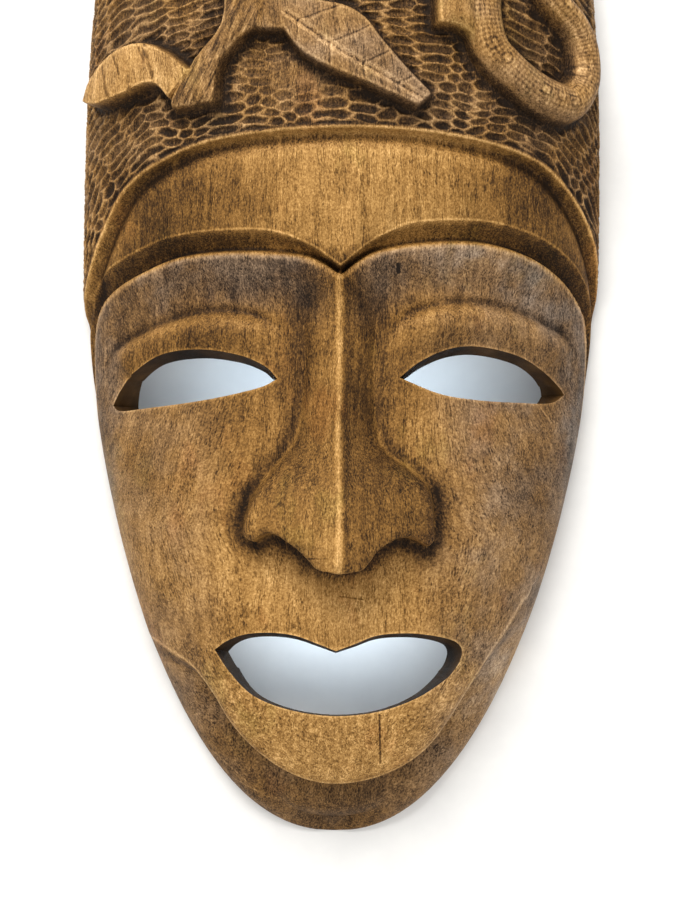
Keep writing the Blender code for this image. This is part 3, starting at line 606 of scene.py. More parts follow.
print("jaw valley", round(JAW_VALLEY / MM, 1), "mm deep, nose", round(NOSE_HEIGHT / MM, 1), "mm high")

# %% [markdown]
# ## The mask as one closed skin
# The front is a fine grid of the log, moved out and in by the relief. The hollow behind it
# is the same log, one wall thickness smaller, and needs few points. A flat band joins the
# two round the rim. The distances from the lines cost the most time, so they are worked
# out on every second row and column, and the ones between are the means of their
# neighbours, which is exact on a straight line and very near it on a curve.

# %% Front, hollow and rim
ROWS, COLUMNS = 401, 221
HOLLOW_STEP = 8
END_CROWDING = 0.25
MERGE_GAP = 0.002 * MM


def finer(field):
    """The field with a new row and column between every two, at the mean of the two."""
    tall = np.empty((2 * field.shape[0] - 1, field.shape[1]))
    tall[::2] = field
    tall[1::2] = (field[:-1] + field[1:]) / 2
    wide = np.empty((tall.shape[0], 2 * tall.shape[1] - 1))
    wide[:, ::2] = tall
    wide[:, 1::2] = (tall[:, :-1] + tall[:, 1:]) / 2
    return wide


def normals_of(points):
    """Unit normals of a grid of points: the cross product of its two directions."""
    n = np.cross(np.gradient(points, axis=1), np.gradient(points, axis=0))
    return n / np.maximum(np.linalg.norm(n, axis=-1, keepdims=True), 1e-12)


def front_grid():
    """Shares and points of the carved front."""
    ends = np.linspace(-np.pi / 2, np.pi / 2, ROWS)
    even = np.linspace(0, 1, ROWS)
    rows = even + END_CROWDING * ((np.sin(ends) + 1) / 2 - even)
    across, along = np.meshgrid(np.linspace(-1, 1, COLUMNS), rows)
    far = lines_at(across, along)
    across, along = finer(across), finer(along)
    far = {name: finer(field) for name, field in far.items()}
    points = log_surface(across, along)
    back_from_end = TOP_MARGIN * step((along - TOP_MARGIN_FROM) / (1 - TOP_MARGIN_FROM))
    points[..., 1] = (along - 0.5) * LENGTH - back_from_end
    points = points + normals_of(points) * carved_relief(far, across, along)[..., None]
    points[:, 0, 2] = points[:, -1, 2] = 0.0
    return across, along, np.clip(points, solid_box[0], solid_box[1])


def hollow_grid(across, along):
    """Points of the hollow: the log less its wall, with fewer columns than the front."""
    across, along = across[:, ::HOLLOW_STEP], along[:, ::HOLLOW_STEP]
    points = log_surface(across, along, WALL)
    points[..., 1] = (along - 0.5) * (LENGTH - 2 * WALL)
    return points


def grid_faces(index):
    """Quads between the rows and columns of a grid of point numbers."""
    a, b, c, d = index[:-1, :-1], index[:-1, 1:], index[1:, 1:], index[1:, :-1]
    return np.stack([a, b, c, d], -1).reshape(-1, 4)


def skin(across, along, front, hollow):
    """Points, quads and where each quad lies: 0 on the front, 1 on the back or the rim."""
    rows, columns = front.shape[:2]
    count = rows * columns
    outer = np.arange(count).reshape(rows, columns)
    inner = count + np.arange(hollow[..., 0].size).reshape(rows, -1)
    outside = grid_faces(outer)
    inside = grid_faces(inner)[:, ::-1]
    left = grid_faces(np.stack([inner[:, 0], outer[:, 0]], 1))
    right = grid_faces(np.stack([outer[:, -1], inner[:, -1]], 1))
    points = np.vstack([front.reshape(-1, 3), hollow.reshape(-1, 3)])
    quads = np.vstack([outside, inside, left, right])
    where = np.repeat([0.0, 1.0], [len(outside), len(quads) - len(outside)])
    shares = np.vstack([np.stack([across, along], -1).reshape(-1, 2),
                        np.zeros((inner.size, 2))])
    return points, quads, where, shares


def mesh_object(name, points, faces):
    """A mesh object from numpy points and equally long faces."""
    mesh = bpy.data.meshes.new(name)
    sides = faces.shape[1]
    mesh.vertices.add(len(points))
    mesh.vertices.foreach_set("co", points.astype(np.float32).ravel())
    mesh.loops.add(faces.size)
    mesh.loops.foreach_set("vertex_index", faces.astype(np.int32).ravel())
    mesh.polygons.add(len(faces))
    mesh.polygons.foreach_set("loop_start", np.arange(0, faces.size, sides, dtype=np.int32))
    mesh.update(calc_edges=True)
    thing = bpy.data.objects.new(name, mesh)
    bpy.context.scene.collection.objects.link(thing)
    return thing


def corner_map(mesh, name, pairs):
    """A UV map from one pair of numbers to a corner."""
    layer = mesh.uv_layers.new(name=name)
    layer.data.foreach_set("uv", np.ascontiguousarray(pairs, dtype=np.float32).ravel())


across, along, front = front_grid()
points, quads, where, shares = skin(across, along, front, hollow_grid(across, along))
mask = mesh_object("mask_carving", points, quads)
corner_map(mask.data, "log", shares[quads.ravel()])
corner_map(mask.data, "side", np.stack([np.repeat(where, 4), np.zeros(quads.size)], -1))
work = bmesh.new()
work.from_mesh(mask.data)
bmesh.ops.remove_doubles(work, verts=work.verts, dist=MERGE_GAP)
bmesh.ops.dissolve_degenerate(work, edges=work.edges, dist=MERGE_GAP)
work.to_mesh(mask.data)
work.free()
print("front:", front.shape[0], "x", front.shape[1], "points;",
      len(mask.data.polygons), "faces in the skin")

# %% [markdown]
# ## The eyes and the mouth
# They are sawn and cut right through the wall, and they lean: the cut narrows on its way to
# the back, most at the outer corners. A tool of the same shape is lofted through four
# outlines and taken away from the mask. Before that the skin is thinned where it is
# smooth, which keeps its triangles for the edges and the gouge marks.

# %% Thin the skin and cut the holes
EYE_LEFT = [[(-0.858, 0.363), (-0.832, 0.3765), (-0.783, 0.3895), (-0.664, 0.405),
             (-0.513, 0.409), (-0.366, 0.404), (-0.27, 0.395), (-0.226, 0.385)],
            [(-0.226, 0.385), (-0.292, 0.378), (-0.439, 0.370), (-0.588, 0.3645),
             (-0.741, 0.3605), (-0.83, 0.3585), (-0.858, 0.363)]]
EYE_RIGHT = [[(0.218, 0.3875), (0.293, 0.401), (0.40, 0.412), (0.513, 0.415),
              (0.665, 0.409), (0.78, 0.396), (0.841, 0.383), (0.858, 0.377)],
             [(0.858, 0.377), (0.80, 0.370), (0.669, 0.3695), (0.518, 0.3705),
              (0.369, 0.375), (0.218, 0.3875)]]
MOUTH = [[(-0.448, 0.164), (-0.40, 0.172), (-0.332, 0.178), (-0.24, 0.180), (-0.15, 0.178),
          (-0.07, 0.172), (0.0, 0.166)],
         [(0.0, 0.166), (0.07, 0.172), (0.15, 0.179), (0.25, 0.181), (0.34, 0.1795),
          (0.42, 0.1755), (0.455, 0.171), (0.468, 0.165), (0.460, 0.157), (0.437, 0.149),
          (0.40, 0.141), (0.30, 0.127), (0.16, 0.116), (0.0, 0.112), (-0.16, 0.116),
          (-0.30, 0.127), (-0.39, 0.146), (-0.448, 0.164)]]
EYE_LEAN = (9.0 * MM, 2.0 * MM, 3.8 * MM, -0.5 * MM)
MOUTH_LEAN = (4.5 * MM, 4.5 * MM, 2.9 * MM, -1.5 * MM)
LEFT_EYE_AT = (-0.54, 0.385)
RIGHT_EYE_AT = (0.54, 0.385)
MOUTH_AT = (0.005, 0.146)
CUTTER_RINGS = np.array([2.2, 0.0, -1.0, -2.0])
EYE_CURVE = 2.5            # how quickly the lean dies out away from the corners
MOUTH_CURVE = 4.0
CUTTER_FACE = 2.4
CUTTER_STEPS = 8
CUTTER_MERGE_GAP = 0.0001 * MM
ON_CUT_WALL = 2.0          # marks the cut walls, as 0 marks the front and 1 the back
TRIANGLES = 186000


def surface_height(x, y):
    """Rough height of the face in plan: the log's section less the sockets."""
    along = y / LENGTH + 0.5
    share = np.clip(np.abs(x) / half_width(along), 0, 1)
    return crown_height(along) * (1 - share ** CUTTER_FACE) ** (1 / CUTTER_FACE) - SOCKET_DEPTH


def cutter(name, runs, middle, lean, curve):
    """A tool for a hole: its outline on the face, sliding inwards with the depth."""
    x, y = ((outline_of(runs, CUTTER_STEPS) - [0, 0.5]) * IN_PLAN).T
    outer, inner, top, bottom = lean
    centre_x, centre_y = middle[0] * HALF, (middle[1] - 0.5) * LENGTH
    side = (x - centre_x) / np.abs(x - centre_x).max()
    outwards = side * (1 if centre_x >= 0 else -1)
    slide = np.where(outwards > 0, outer, inner) * np.abs(side) ** curve
    rise = (y - centre_y) / np.abs(y - centre_y).max()
    drop = np.where(rise > 0, top, -bottom) * np.sqrt(np.abs(rise))
    shift = np.stack([-np.sign(side) * slide, -drop, np.full_like(x, -WALL)], -1)
    on_face = np.stack([x, y, surface_height(x, y)], -1)
    rings = on_face - shift * CUTTER_RINGS[:, None, None]
    count, last = len(x), len(rings) - 1
    index = np.arange(rings[..., 0].size).reshape(len(rings), count)
    walls = grid_faces(np.hstack([index, index[:, :1]]))
    hubs = rings[[0, last]].mean(1)
    near, far_end = index[0], index[last]
    hub = index.size
    caps = [np.stack([np.roll(near, -1), near, np.full(count, hub), np.full(count, hub)], -1),
            np.stack([far_end, np.roll(far_end, -1), np.full(count, hub + 1),
                      np.full(count, hub + 1)], -1)]
    tool = mesh_object(name, np.vstack([rings.reshape(-1, 3), hubs]),
                       np.vstack([walls] + caps))
    corner_map(tool.data, "log", np.zeros((len(tool.data.loops), 2)))
    corner_map(tool.data, "side", np.full((len(tool.data.loops), 2), ON_CUT_WALL))
    mend = bmesh.new()
    mend.from_mesh(tool.data)
    bmesh.ops.dissolve_degenerate(mend, edges=mend.edges, dist=CUTTER_MERGE_GAP)
    bmesh.ops.recalc_face_normals(mend, faces=mend.faces)
    mend.to_mesh(tool.data)
    mend.free()
    return tool


count = sum(len(p.vertices) - 2 for p in mask.data.polygons)
if count > TRIANGLES:
    thin = mask.modifiers.new("thin", "DECIMATE")
    thin.ratio = TRIANGLES / count
tools = [cutter("eye_left_tool", EYE_LEFT, LEFT_EYE_AT, EYE_LEAN, EYE_CURVE),
         cutter("eye_right_tool", EYE_RIGHT, RIGHT_EYE_AT, EYE_LEAN, EYE_CURVE),
         cutter("mouth_tool", MOUTH, MOUTH_AT, MOUTH_LEAN, MOUTH_CURVE)]
for tool in tools:
    cut = mask.modifiers.new(tool.name, "BOOLEAN")
    cut.operation = "DIFFERENCE"
    cut.solver = "MANIFOLD"
    cut.object = tool
ready = mask.evaluated_get(bpy.context.evaluated_depsgraph_get())
finished = bpy.data.meshes.new_from_object(ready)
mask.modifiers.clear()
mask.data = finished
for tool in tools:
    bpy.data.objects.remove(tool)
triangles = sum(len(p.vertices) - 2 for p in finished.polygons)
print("after thinning and cutting:", triangles, "triangles; maps:",
      [layer.name for layer in finished.uv_layers])

# %% [markdown]
# ## Places on the finished mesh
# The hollows are darker, with stain and painted shade, and the high edges lighter, rubbed
# bright and painted with highlights. The finish finds these places by the distances from the
# carved lines. Thinning and cutting have given the mesh new points, so the place of each point
# on the log is first read back from the map that the skin was made with.

# %% Read the places back
def corner_values(mesh, name):
    """The pairs of numbers of a UV map."""
    pairs = np.empty(2 * len(mesh.loops), np.float32)
    mesh.uv_layers[name].data.foreach_get("uv", pairs)
    return pairs.reshape(-1, 2).astype(float)


side = corner_values(finished, "side")[:, 0]
on_front, on_cut = side < 0.5, side > 1.5
corner_point = np.empty(len(finished.loops), np.int32)
finished.loops.foreach_get("vertex_index", corner_point)
total = len(finished.vertices)
hits = np.bincount(corner_point[on_front], minlength=total)
log_place = corner_values(finished, "log")[on_front]
sums = [np.bincount(corner_point[on_front], column, total) for column in log_place.T]
vertex_across, vertex_along = np.array(sums) / np.maximum(hits, 1)
places = np.empty(3 * total, np.float32)
finished.vertices.foreach_get("co", places)
places = places.reshape(-1, 3).astype(float)
far = lines_at(vertex_across, vertex_along)
print("points on the front:", int((hits > 0).sum()), "of", total)

# %% [markdown]
# ## The rims of the holes
# A rim runs where the front meets the wall of an eye or of the mouth. Only the points round
# a hole need their distance from its rim, and every other point counts as far away.

# %% Distances from the rims
FAR_AWAY = 99 * MM
ROUND_EYES = np.array([(-82, -62), (82, -28)]) * MM
ROUND_MOUTH = np.array([(-46, -160), (46, -122)]) * MM


def touched_by(corners):
    """True for the points that at least one of these corners of the mesh touches."""
    found = np.zeros(total, bool)
    found[corner_point[corners]] = True
    return found


def gap_from(rims):
    """Distance of each point from the nearest straight piece of the rims."""
    close = np.zeros(total, bool)
    for low, high in (ROUND_EYES, ROUND_MOUTH):
        close |= ((places[:, :2] > low) & (places[:, :2] < high)).all(1)
    gap = np.full(total, FAR_AWAY)
    nearest = gap[close]
    for start, end in places[rims]:
        go, past = end - start, places[close] - start
        t = np.clip(past @ go / max(go @ go, 1e-18), 0, 1)
        nearest = np.minimum(nearest, np.linalg.norm(past - t[:, None] * go, axis=1))
    gap[close] = nearest
    return gap


on_rim = touched_by(on_front) & touched_by(on_cut)
edges = np.empty(2 * len(finished.edges), np.int32)
finished.edges.foreach_get("vertices", edges)
edges = edges.reshape(-1, 2)
rims = edges[on_rim[edges].all(1)]
hole = gap_from(rims)
print("rims of the holes:", len(rims), "straight pieces")

# %% [markdown]
# ## Light and dark wood
# Under its fine pores the wood has a slow tone, from 0 for dark to 1 for light, and some of
# it has gone grey. The middle of the forehead and the lip plate are rubbed light. The outer
# edges are painted lighter, and the outer cheeks and the face right of the nose greyer, as a
# painted sheen. The brow has kept its stain, and the lids and the chin are darker. The hollows
# beside the nose and at the roots of its wings get painted shade. Soft round patches make
# single places lighter or darker, and one paints a sheen on the right brow panel.

# %% Slow tone and greyness
# How light each zone makes the wood, and how grey.
# Painted light among the zones: the hollows beside the nose and at the roots of its wings are painted
# shade, the outer edges a lighter painted sheen, and the outer cheeks and the face right of the nose
# a grey painted sheen.
ZONE_TONES = {"everywhere": (0.60, 0.00), "forehead": (0.20, 0.00), "right_temple": (-0.12, 0.00),
              "brow": (-0.15, 0.40), "right_half": (-0.05, 0.00), "edges": (0.07, 0.00),
              "lids": (-0.12, 0.00), "painted_shade_beside_nose": (-0.16, 0.00), "painted_shade_wing_roots": (-0.10, 0.00),
              "nose": (-0.04, 0.00), "nose_sides": (-0.05, 0.00), "right_cheek": (0.06, 0.00),
              "plate": (0.23, 0.00), "plate_ends": (-0.06, 0.00), "chin": (-0.13, 0.15),
              "chin_middle": (-0.08, 0.00), "painted_sheen_outer_cheeks": (0.00, 0.14),
              "painted_sheen_right_of_nose": (0.00, 0.20)}
# Zone of a patch, how light it is, its middle and its half sizes in millimetres.
PATCHES = [("everywhere", 0.28, (0, -112), (34, 18)), ("everywhere", -0.07, (-42, -55), (16, 12)),
           ("everywhere", 0.13, (-48, -98), (24, 24)), ("everywhere", -0.12, (-62, 28), (16, 22)),
           ("everywhere", -0.14, (-48, -32), (26, 13)), ("everywhere", -0.08, (-40, -8), (30, 14)),
           ("everywhere", -0.14, (68, -76), (12, 26)), ("chin", 0.30, (62, -140), (30, 40)),
           # painted sheen: this last patch lights the right brow panel
           ("under_brow", 0.20, (50, 2), (34, 20))]
# The headdress: its ground, and what lies on it, with the later ones over the earlier.
GROUND_TONE, GROUND_GREY = 0.46, 0.15
GROUND_RIGHT, GROUND_LEFT = -0.08, 0.04
RELIEF_TONES = {"web": (0.52, 0.30), "branch": (0.47, 0.15), "stub": (0.75, 0.10),
                "low_leaf": (0.82, 0.05), "big_leaf": (0.57, 0.28), "high_leaf": (0.62, 0.30)}
SNAKE_TONE, SNAKE_GREY = 0.72, 0.15


def zones_at(far, across, along, x, y, gap):
    """How far each point lies in each zone: 1 inside and 0 outside.

    The forehead alone falls to -1, at its sides. x, y and gap are in millimetres.
    """
    wide, under, lip = np.abs(x), -far["ridge"] / MM, far["lip"] / MM
    face = fade(far["hair"] / MM, 0, -1)
    forehead = fade(under, 0, -2) * face
    nose = fade(far["nose"] / MM, 0, 1.5)
    plate = fade(lip, 0, 2) * fade(along, 0.155, 0.125)
    chin = fade(lip, 0, -1.5) * fade(along, 0.26, 0.23) * fade(far["lip_share"], 0.02, 0.12)
    return {"everywhere": np.ones_like(x),
            "forehead": forehead * (1 - 2 * fade(np.abs(across - 0.05), 0.10, 0.60)),
            "right_temple": forehead * fade(across, 0.50, 0.70),
            "brow": fade(under, 0, 1) * fade(under, 21, 9) * fade(wide, 0, 14) * face,
            "under_brow": fade(under, 0, 3),
            "right_half": fade(x, 8, 38) * fade(under, 0, 8) * (1 - plate),
            # painted sheen: the outer edges lighter
            "edges": fade(np.abs(across), 0.72, 0.97) * fade(under, 0, 8),
            "lids": fade(gap, 9, 3) * fade(y, -48, -44) * face,
            # painted shade in the hollow beside the bridge of the nose
            "painted_shade_beside_nose": bump((wide - 13) / 9) * fade(y, -45, -15) * fade(under, 0, 4),
            # painted shade at the roots of the nose's wings
            "painted_shade_wing_roots": bump((wide - 15) / 9) * bump((y + 52) / 16),
            "nose": nose * fade(along, 0.42, 0.37),
            "nose_sides": nose * fade(wide, 3, 7),
            "right_cheek": bump((x - 50) / 34) * fade(y, -50, -60) * (1 - plate),
            "plate": plate,
            "plate_ends": plate * fade(wide, 18, 26),
            "chin": chin,
            "chin_middle": chin * bump(x / 40),
            # painted sheen: the outer cheeks greyer
            "painted_sheen_outer_cheeks": fade(wide, 28, 58) * fade(y, -45, -55),
            # painted sheen: the face right of the nose greyer
            "painted_sheen_right_of_nose": fade(x, 20, 50) * fade(under, 0, 4)}


def laid_over(field, share, value):
    """The field, replaced by a value where the share is 1."""
    return field * (1 - share) + value * share


def tones(far, across, along, places, gap):
    """Slow tone of the wood, 0 dark to 1 light, and how grey it is."""
    x, y = places[:, 0] / MM, places[:, 1] / MM
    zones = zones_at(far, across, along, x, y, gap / MM)
    tone = sum(light * zones[name] for name, (light, _) in ZONE_TONES.items())
    grey = sum(dull * zones[name] for name, (_, dull) in ZONE_TONES.items())
    for zone, light, middle, size in PATCHES:
        patch = bump((x - middle[0]) / size[0]) * bump((y - middle[1]) / size[1])
        tone = tone + light * zones[zone] * patch
    head = fade(far["hair"] / MM, 0, 1)
    ground = GROUND_TONE + GROUND_RIGHT * fade(across, 0.5, 0.8)
    ground = ground + GROUND_LEFT * fade(across, -0.5, -0.8)
    tone, grey = laid_over(tone, head, ground), laid_over(grey, head, GROUND_GREY)
    for name, (light, dull) in RELIEF_TONES.items():
        on = fade(far[name] / MM, -0.5, 0.5)
        tone, grey = laid_over(tone, on, light), laid_over(grey, on, dull)
    on = step((SNAKE_BODY / 2 - far["snake"]) / MM) * head
    return laid_over(tone, on, SNAKE_TONE), laid_over(grey, on, SNAKE_GREY)


tone, grey = tones(far, vertex_across, vertex_along, places, hole)
print("slow tone: mean", round(float(tone[hits > 0].mean()), 2))

# %% [markdown]
# ## What each point carries
# Each point stores its distances in millimetres, its place in the net of gouge cuts, its
# tone, and how far it is along the snake or the big leaf's midrib. The small round spots on
# the snake are eyes of the pattern, and their places are given as shares of the log.

# %% Store the values on the points
STORED = {"lines_a": ("hair", "ridge", "lip"), "lines_b": ("nose", "hole", "proud"),
          "lines_c": ("leaf", "rib", "branch"), "lines_d": ("groove", "crest", "crease"),
          "net": ("net_s", "net_w", "gouges"), "tones": ("slow", "grey", "run"),
          "spots": ("spot", "snake_off", "crease_fade")}
SPOTS = [(0.402, 0.651), (0.556, 0.619), (0.608, 0.616), (0.656, 0.612), (0.44, 0.640),
         (0.70, 0.640), (0.64, 0.690), (0.735, 0.625)]
NO_SPOT = 9 * MM
VEIN_SLANT = 0.7
LEAF_MARGIN = 2 * MM


def point_attribute(mesh, name, values):
    """A vector on each point."""
    layer = mesh.attributes.new(name, "FLOAT_VECTOR", "POINT")
    layer.data.foreach_set("vector", np.stack(values, -1).astype(np.float32).ravel())


on_log = np.stack([vertex_across, vertex_along], -1)
leaf = np.maximum(np.maximum(far["low_leaf"], far["big_leaf"]), far["high_leaf"])
rib = np.where(far["high_leaf"] > 0, far["high_rib"], far["midrib"])
rib_run = far["midrib_share"] * polyline_length(run_through(BIG_MIDRIB) * ON_LOG)
snake_run = far["snake_share"] * polyline_length(run_through(SNAKE_LINE) * ON_LOG)
run = np.where(leaf > -LEAF_MARGIN, rib_run - VEIN_SLANT * rib, snake_run)
on_left = vertex_across < 0
crease = np.where(on_left, far["crease_left"], far["crease_right"])
crease_share = np.where(on_left, far["crease_left_share"], far["crease_right_share"])
spot = np.full(total, NO_SPOT)
for at in SPOTS:
    spot = np.minimum(spot, np.hypot(*((on_log - at) * ON_LOG).T))
groove = far["ridge"] - groove_width(vertex_across)
crest = off_crest(log_surface(vertex_across, vertex_along)[:, 0], vertex_along)
in_metres = {"hair": far["hair"], "ridge": far["ridge"], "lip": far["lip"], "nose": far["nose"],
             "hole": hole, "proud": relief_outline(far), "leaf": leaf, "rib": rib,
             "branch": far["branch"], "groove": groove, "crest": crest, "crease": crease,
             "run": run, "spot": spot, "snake_off": far["snake"]}
values = {name: field / MM for name, field in in_metres.items()}
values["net_s"], values["net_w"] = course_places(far, vertex_across, vertex_along)
values["gouges"] = gouged(far, vertex_across, vertex_along)
values["slow"], values["grey"] = tone, grey
values["crease_fade"] = fade_at_ends(crease_share, CREASE_FADE, CREASE_FADE)
for attribute, names in STORED.items():
    point_attribute(finished, attribute, [values[name] for name in names])
print("stored on each point:", len(values), "values")

# %% [markdown]
# ## Small helpers for the finish
# Shader nodes are quicker to read as sums than as boxes, so a few helpers build them: one
# call makes one node, joins what it is given, and hands back its output.

# %% Node helpers
class Nodes:
    """Makes shader nodes in one node tree."""

    def __init__(self, tree):
        self.tree = tree

    def make(self, kind, inputs=(), **settings):
        """A node of this kind, with sockets joined and plain values set."""
        node = self.tree.nodes.new("ShaderNode" + kind)
        for key, value in settings.items():
            setattr(node, key, value)
        for key, value in dict(inputs).items():
            if isinstance(value, bpy.types.NodeSocket):
                self.tree.links.new(value, node.inputs[key])
            elif value is not None:
                node.inputs[key].default_value = value
        return node

    def math(self, operation, a, b=None):
        """One operation on numbers."""
        return self.make("Math", {0: a, 1: b}, operation=operation).outputs[0]

    def vector(self, operation, a, b):
        """One operation on vectors."""
        return self.make("VectorMath", {0: a, 1: b}, operation=operation).outputs[0]

    def add(self, a, b):
        """a plus b."""
        return self.math("ADD", a, b)

    def times(self, a, b):
        """a times b."""
        return self.math("MULTIPLY", a, b)

    def less(self, a, b):
        """a less b."""
        return self.math("SUBTRACT", a, b)

    def about(self, texture, amount):
        """A texture's swing about its mean of one half, times an amount."""
        return self.times(amount, self.less(texture, 0.5))

    def rise(self, value, low, high, to_low=0.0, to_high=1.0):
        """Smooth change from to_low to to_high as the value goes from low to high."""
        node = self.make("MapRange", {0: value, 1: low, 2: high, 3: to_low, 4: to_high},
                         interpolation_type="SMOOTHSTEP")
        return node.outputs[0]

    def band(self, value, middle, half):
        """1 on the middle value, falling smoothly to 0 at half on either side."""
        away = self.math("ABSOLUTE", self.less(value, middle))
        return self.rise(away, 0.0, half, 1.0, 0.0)

    def mix(self, share, a, b, blend="MIX"):
        """Colour a, with this share of colour b laid over it."""
        node = self.make("Mix", {0: share, 6: a, 7: b}, data_type="RGBA", blend_type=blend)
        return node.outputs[2]

    def noise(self, vector, scale, detail=3.0, rough=0.5, twist=0.0):
        """Smooth random field from 0 to 1."""
        node = self.make("TexNoise", {"Vector": vector, "Scale": scale, "Detail": detail,
                                      "Roughness": rough, "Distortion": twist})
        return node.outputs[0]

    def stretch(self, vector, amounts, turn=(0, 0, 0)):
        """The vector turned, and multiplied by an amount in each direction."""
        node = self.make("Mapping", {"Vector": vector, "Scale": amounts, "Rotation": turn})
        return node.outputs[0]

    def parts(self, vector):
        """The three numbers of a vector."""
        return tuple(self.make("SeparateXYZ", {0: vector}).outputs)

    def from_line(self, x, y, start, end):
        """Distance in millimetres of (x, y) in metres from a short straight line."""
        (ax, ay), (bx, by) = start, end
        long = math.hypot(bx - ax, by - ay)
        ux, uy = (bx - ax) / long, (by - ay) / long
        dx, dy = self.less(self.times(x, 1000.0), ax), self.less(self.times(y, 1000.0), ay)
        forth = self.add(self.times(dx, ux), self.times(dy, uy))
        aside = self.less(self.times(dy, ux), self.times(dx, uy))
        past = self.less(forth, self.math("MINIMUM", self.math("MAXIMUM", forth, 0.0), long))
        return self.math("SQRT", self.add(self.times(past, past), self.times(aside, aside)))

    def ramp(self, value, stops):
        """Colours by a value, with straight changes between the stops."""
        node = self.make("ValToRGB", {0: value})
        ramp = node.color_ramp
        while len(ramp.elements) < len(stops):
            ramp.elements.new(0.5)
        for element, (at, colour) in zip(ramp.elements, stops):
            element.position = at
            element.color = (*colour, 1)
        return node.outputs[0]


# %% [markdown]
# ## The net of gouge marks as a node group
# The same net of cells that shaped the ground is worked out again in the finish, much finer
# than the mesh could carry it. It takes a place in the net and gives 0 in the middle of
# a cut and 1 on the sharp border between two, and a chance value for each cut.

# %% Node group: cell border
def cell_group():
    """The formula of cell_edge as nodes."""
    tree = bpy.data.node_groups.new("gouge_net", "ShaderNodeTree")
    for name in ("Along", "Across"):
        tree.interface.new_socket(name, in_out="INPUT", socket_type="NodeSocketFloat")
    for name in ("Border", "Chance"):
        tree.interface.new_socket(name, in_out="OUTPUT", socket_type="NodeSocketFloat")
    n = Nodes(tree)
    given = tree.nodes.new("NodeGroupInput")
    result = tree.nodes.new("NodeGroupOutput")
    pairs = []
    for offset in (0.0, 0.5):
        pair = []
        for socket in (0, 1):
            moved = n.less(given.outputs[socket], offset)
            pair.append(n.less(n.math("FLOORED_MODULO", moved, 1.0), 0.5))
        pairs.append(pair)
    sizes = [n.add(n.times(CELL_STRETCH, n.times(p, p)), n.times(q, q)) for p, q in pairs]
    second = n.math("LESS_THAN", sizes[1], sizes[0])
    picked = [n.add(n.times(pairs[0][i], n.less(1.0, second)), n.times(pairs[1][i], second))
              for i in (0, 1)]
    a, b = [n.math("ABSOLUTE", part) for part in picked]
    slanted = n.add(n.times(CELL_SLANT[0], a), n.times(CELL_SLANT[1], b))
    powers = n.add(n.math("POWER", slanted, CELL_CORNER), n.math("POWER", b, CELL_CORNER))
    border = n.times(2.0, n.math("POWER", powers, 1 / CELL_CORNER))
    tree.links.new(border, result.inputs[0])
    middle = [n.less(given.outputs[i], picked[i]) for i in (0, 1)]
    place = n.make("CombineXYZ", {0: middle[0], 1: middle[1]}).outputs[0]
    # Rounding to quarters gives all points of one cell the same place, whatever its last digits.
    quarters = n.vector("SNAP", place, (0.25, 0.25, 0.25))
    whole = n.vector("ADD", quarters, (0.125, 0.125, 0.0))
    chance = n.make("TexWhiteNoise", {"Vector": whole}, noise_dimensions="2D")
    tree.links.new(chance.outputs["Value"], result.inputs[1])
    return tree


gouge_net = cell_group()
print("nodes in the net of gouge marks:", len(gouge_net.nodes))

# %% [markdown]
# ## Oiled, stained and worn wood, with painted light and shade
# The wood is a medium brown hardwood with open pores that show as short dark dashes along
# the grain. It was stained dark. The hollows are painted darker, part stain and part painted
# shade. The colour is a ramp from dark to light wood. Its place on the ramp is the sum of the
# slow tone, the textures of the wood, and bands of stain, wear, painted shade, painted shadow
# and painted highlight that run beside the carved lines.

# %% Colours, textures, and lines of wear, painted shade and painted highlight
DARK = (0.014, 0.007, 0.003)
BROWN = (0.076, 0.036, 0.010)
WARM = (0.245, 0.122, 0.030)
PALE = (0.480, 0.268, 0.085)
BRIGHT = (0.760, 0.460, 0.180)
COLOUR_STOPS = [(0.0, DARK), (0.256, BROWN), (0.528, WARM), (0.8, PALE), (1.0, BRIGHT)]
OLIVE_TINT = (0.86, 1.0, 0.84, 1)
RED_TINT = (1.0, 0.86, 0.80, 1)
# The grain drifts sideways, and leans outwards over the cheeks below LEAN_TOP.
DRIFT_SCALE = 16.0
DRIFT_REACH = 12 * MM
LEAN = 0.38
LEAN_FROM, LEAN_FULL = 8 * MM, 70 * MM
LEAN_TOP = -45 * MM
LEAN_REACH = 50 * MM
BRANCH_TURN = -1.13
# Which way a texture runs, its waves to a metre along x, y and z, detail, roughness, twist.
TEXTURES = {"dashes": ("bent", (3000, 330, 3000), 1.0, 0.60, 0.0),
            "dash_rows": ("bent", (420, 60, 300), 2.0, 0.50, 0.0),
            "specks": ("bent", (2100, 1250, 2100), 3.0, 0.75, 0.0),
            "curl": ("bent", (800, 520, 800), 2.0, 0.60, 1.2),
            "streak": ("bent", (620, 26, 300), 3.0, 0.65, 0.0),
            "cloudy": ("place", (260, 90, 260), 3.0, 0.60, 0.0),
            "mottle": ("place", (75, 75, 75), 4.0, 0.65, 0.0),
            "blotch": ("place", (24, 38.4, 24), 3.0, 0.55, 0.0),
            "tint": ("place", (38, 22.8, 38), 4.0, 0.65, 0.0),
            "dulling": ("place", (55, 55, 55), 3.0, 0.60, 0.0),
            "bark": ("by_branch", (75, 900, 300), 3.0, 0.70, 0.5)}
TEXTURE_TONES = {"cloudy": 0.30, "mottle": 0.42, "blotch": 0.36, "streak": 0.60,
                 "specks": 1.40, "curl": 0.50}
BARK_TONE = 1.9
PORE_TONE = -0.30
PORE_MEAN = 0.22
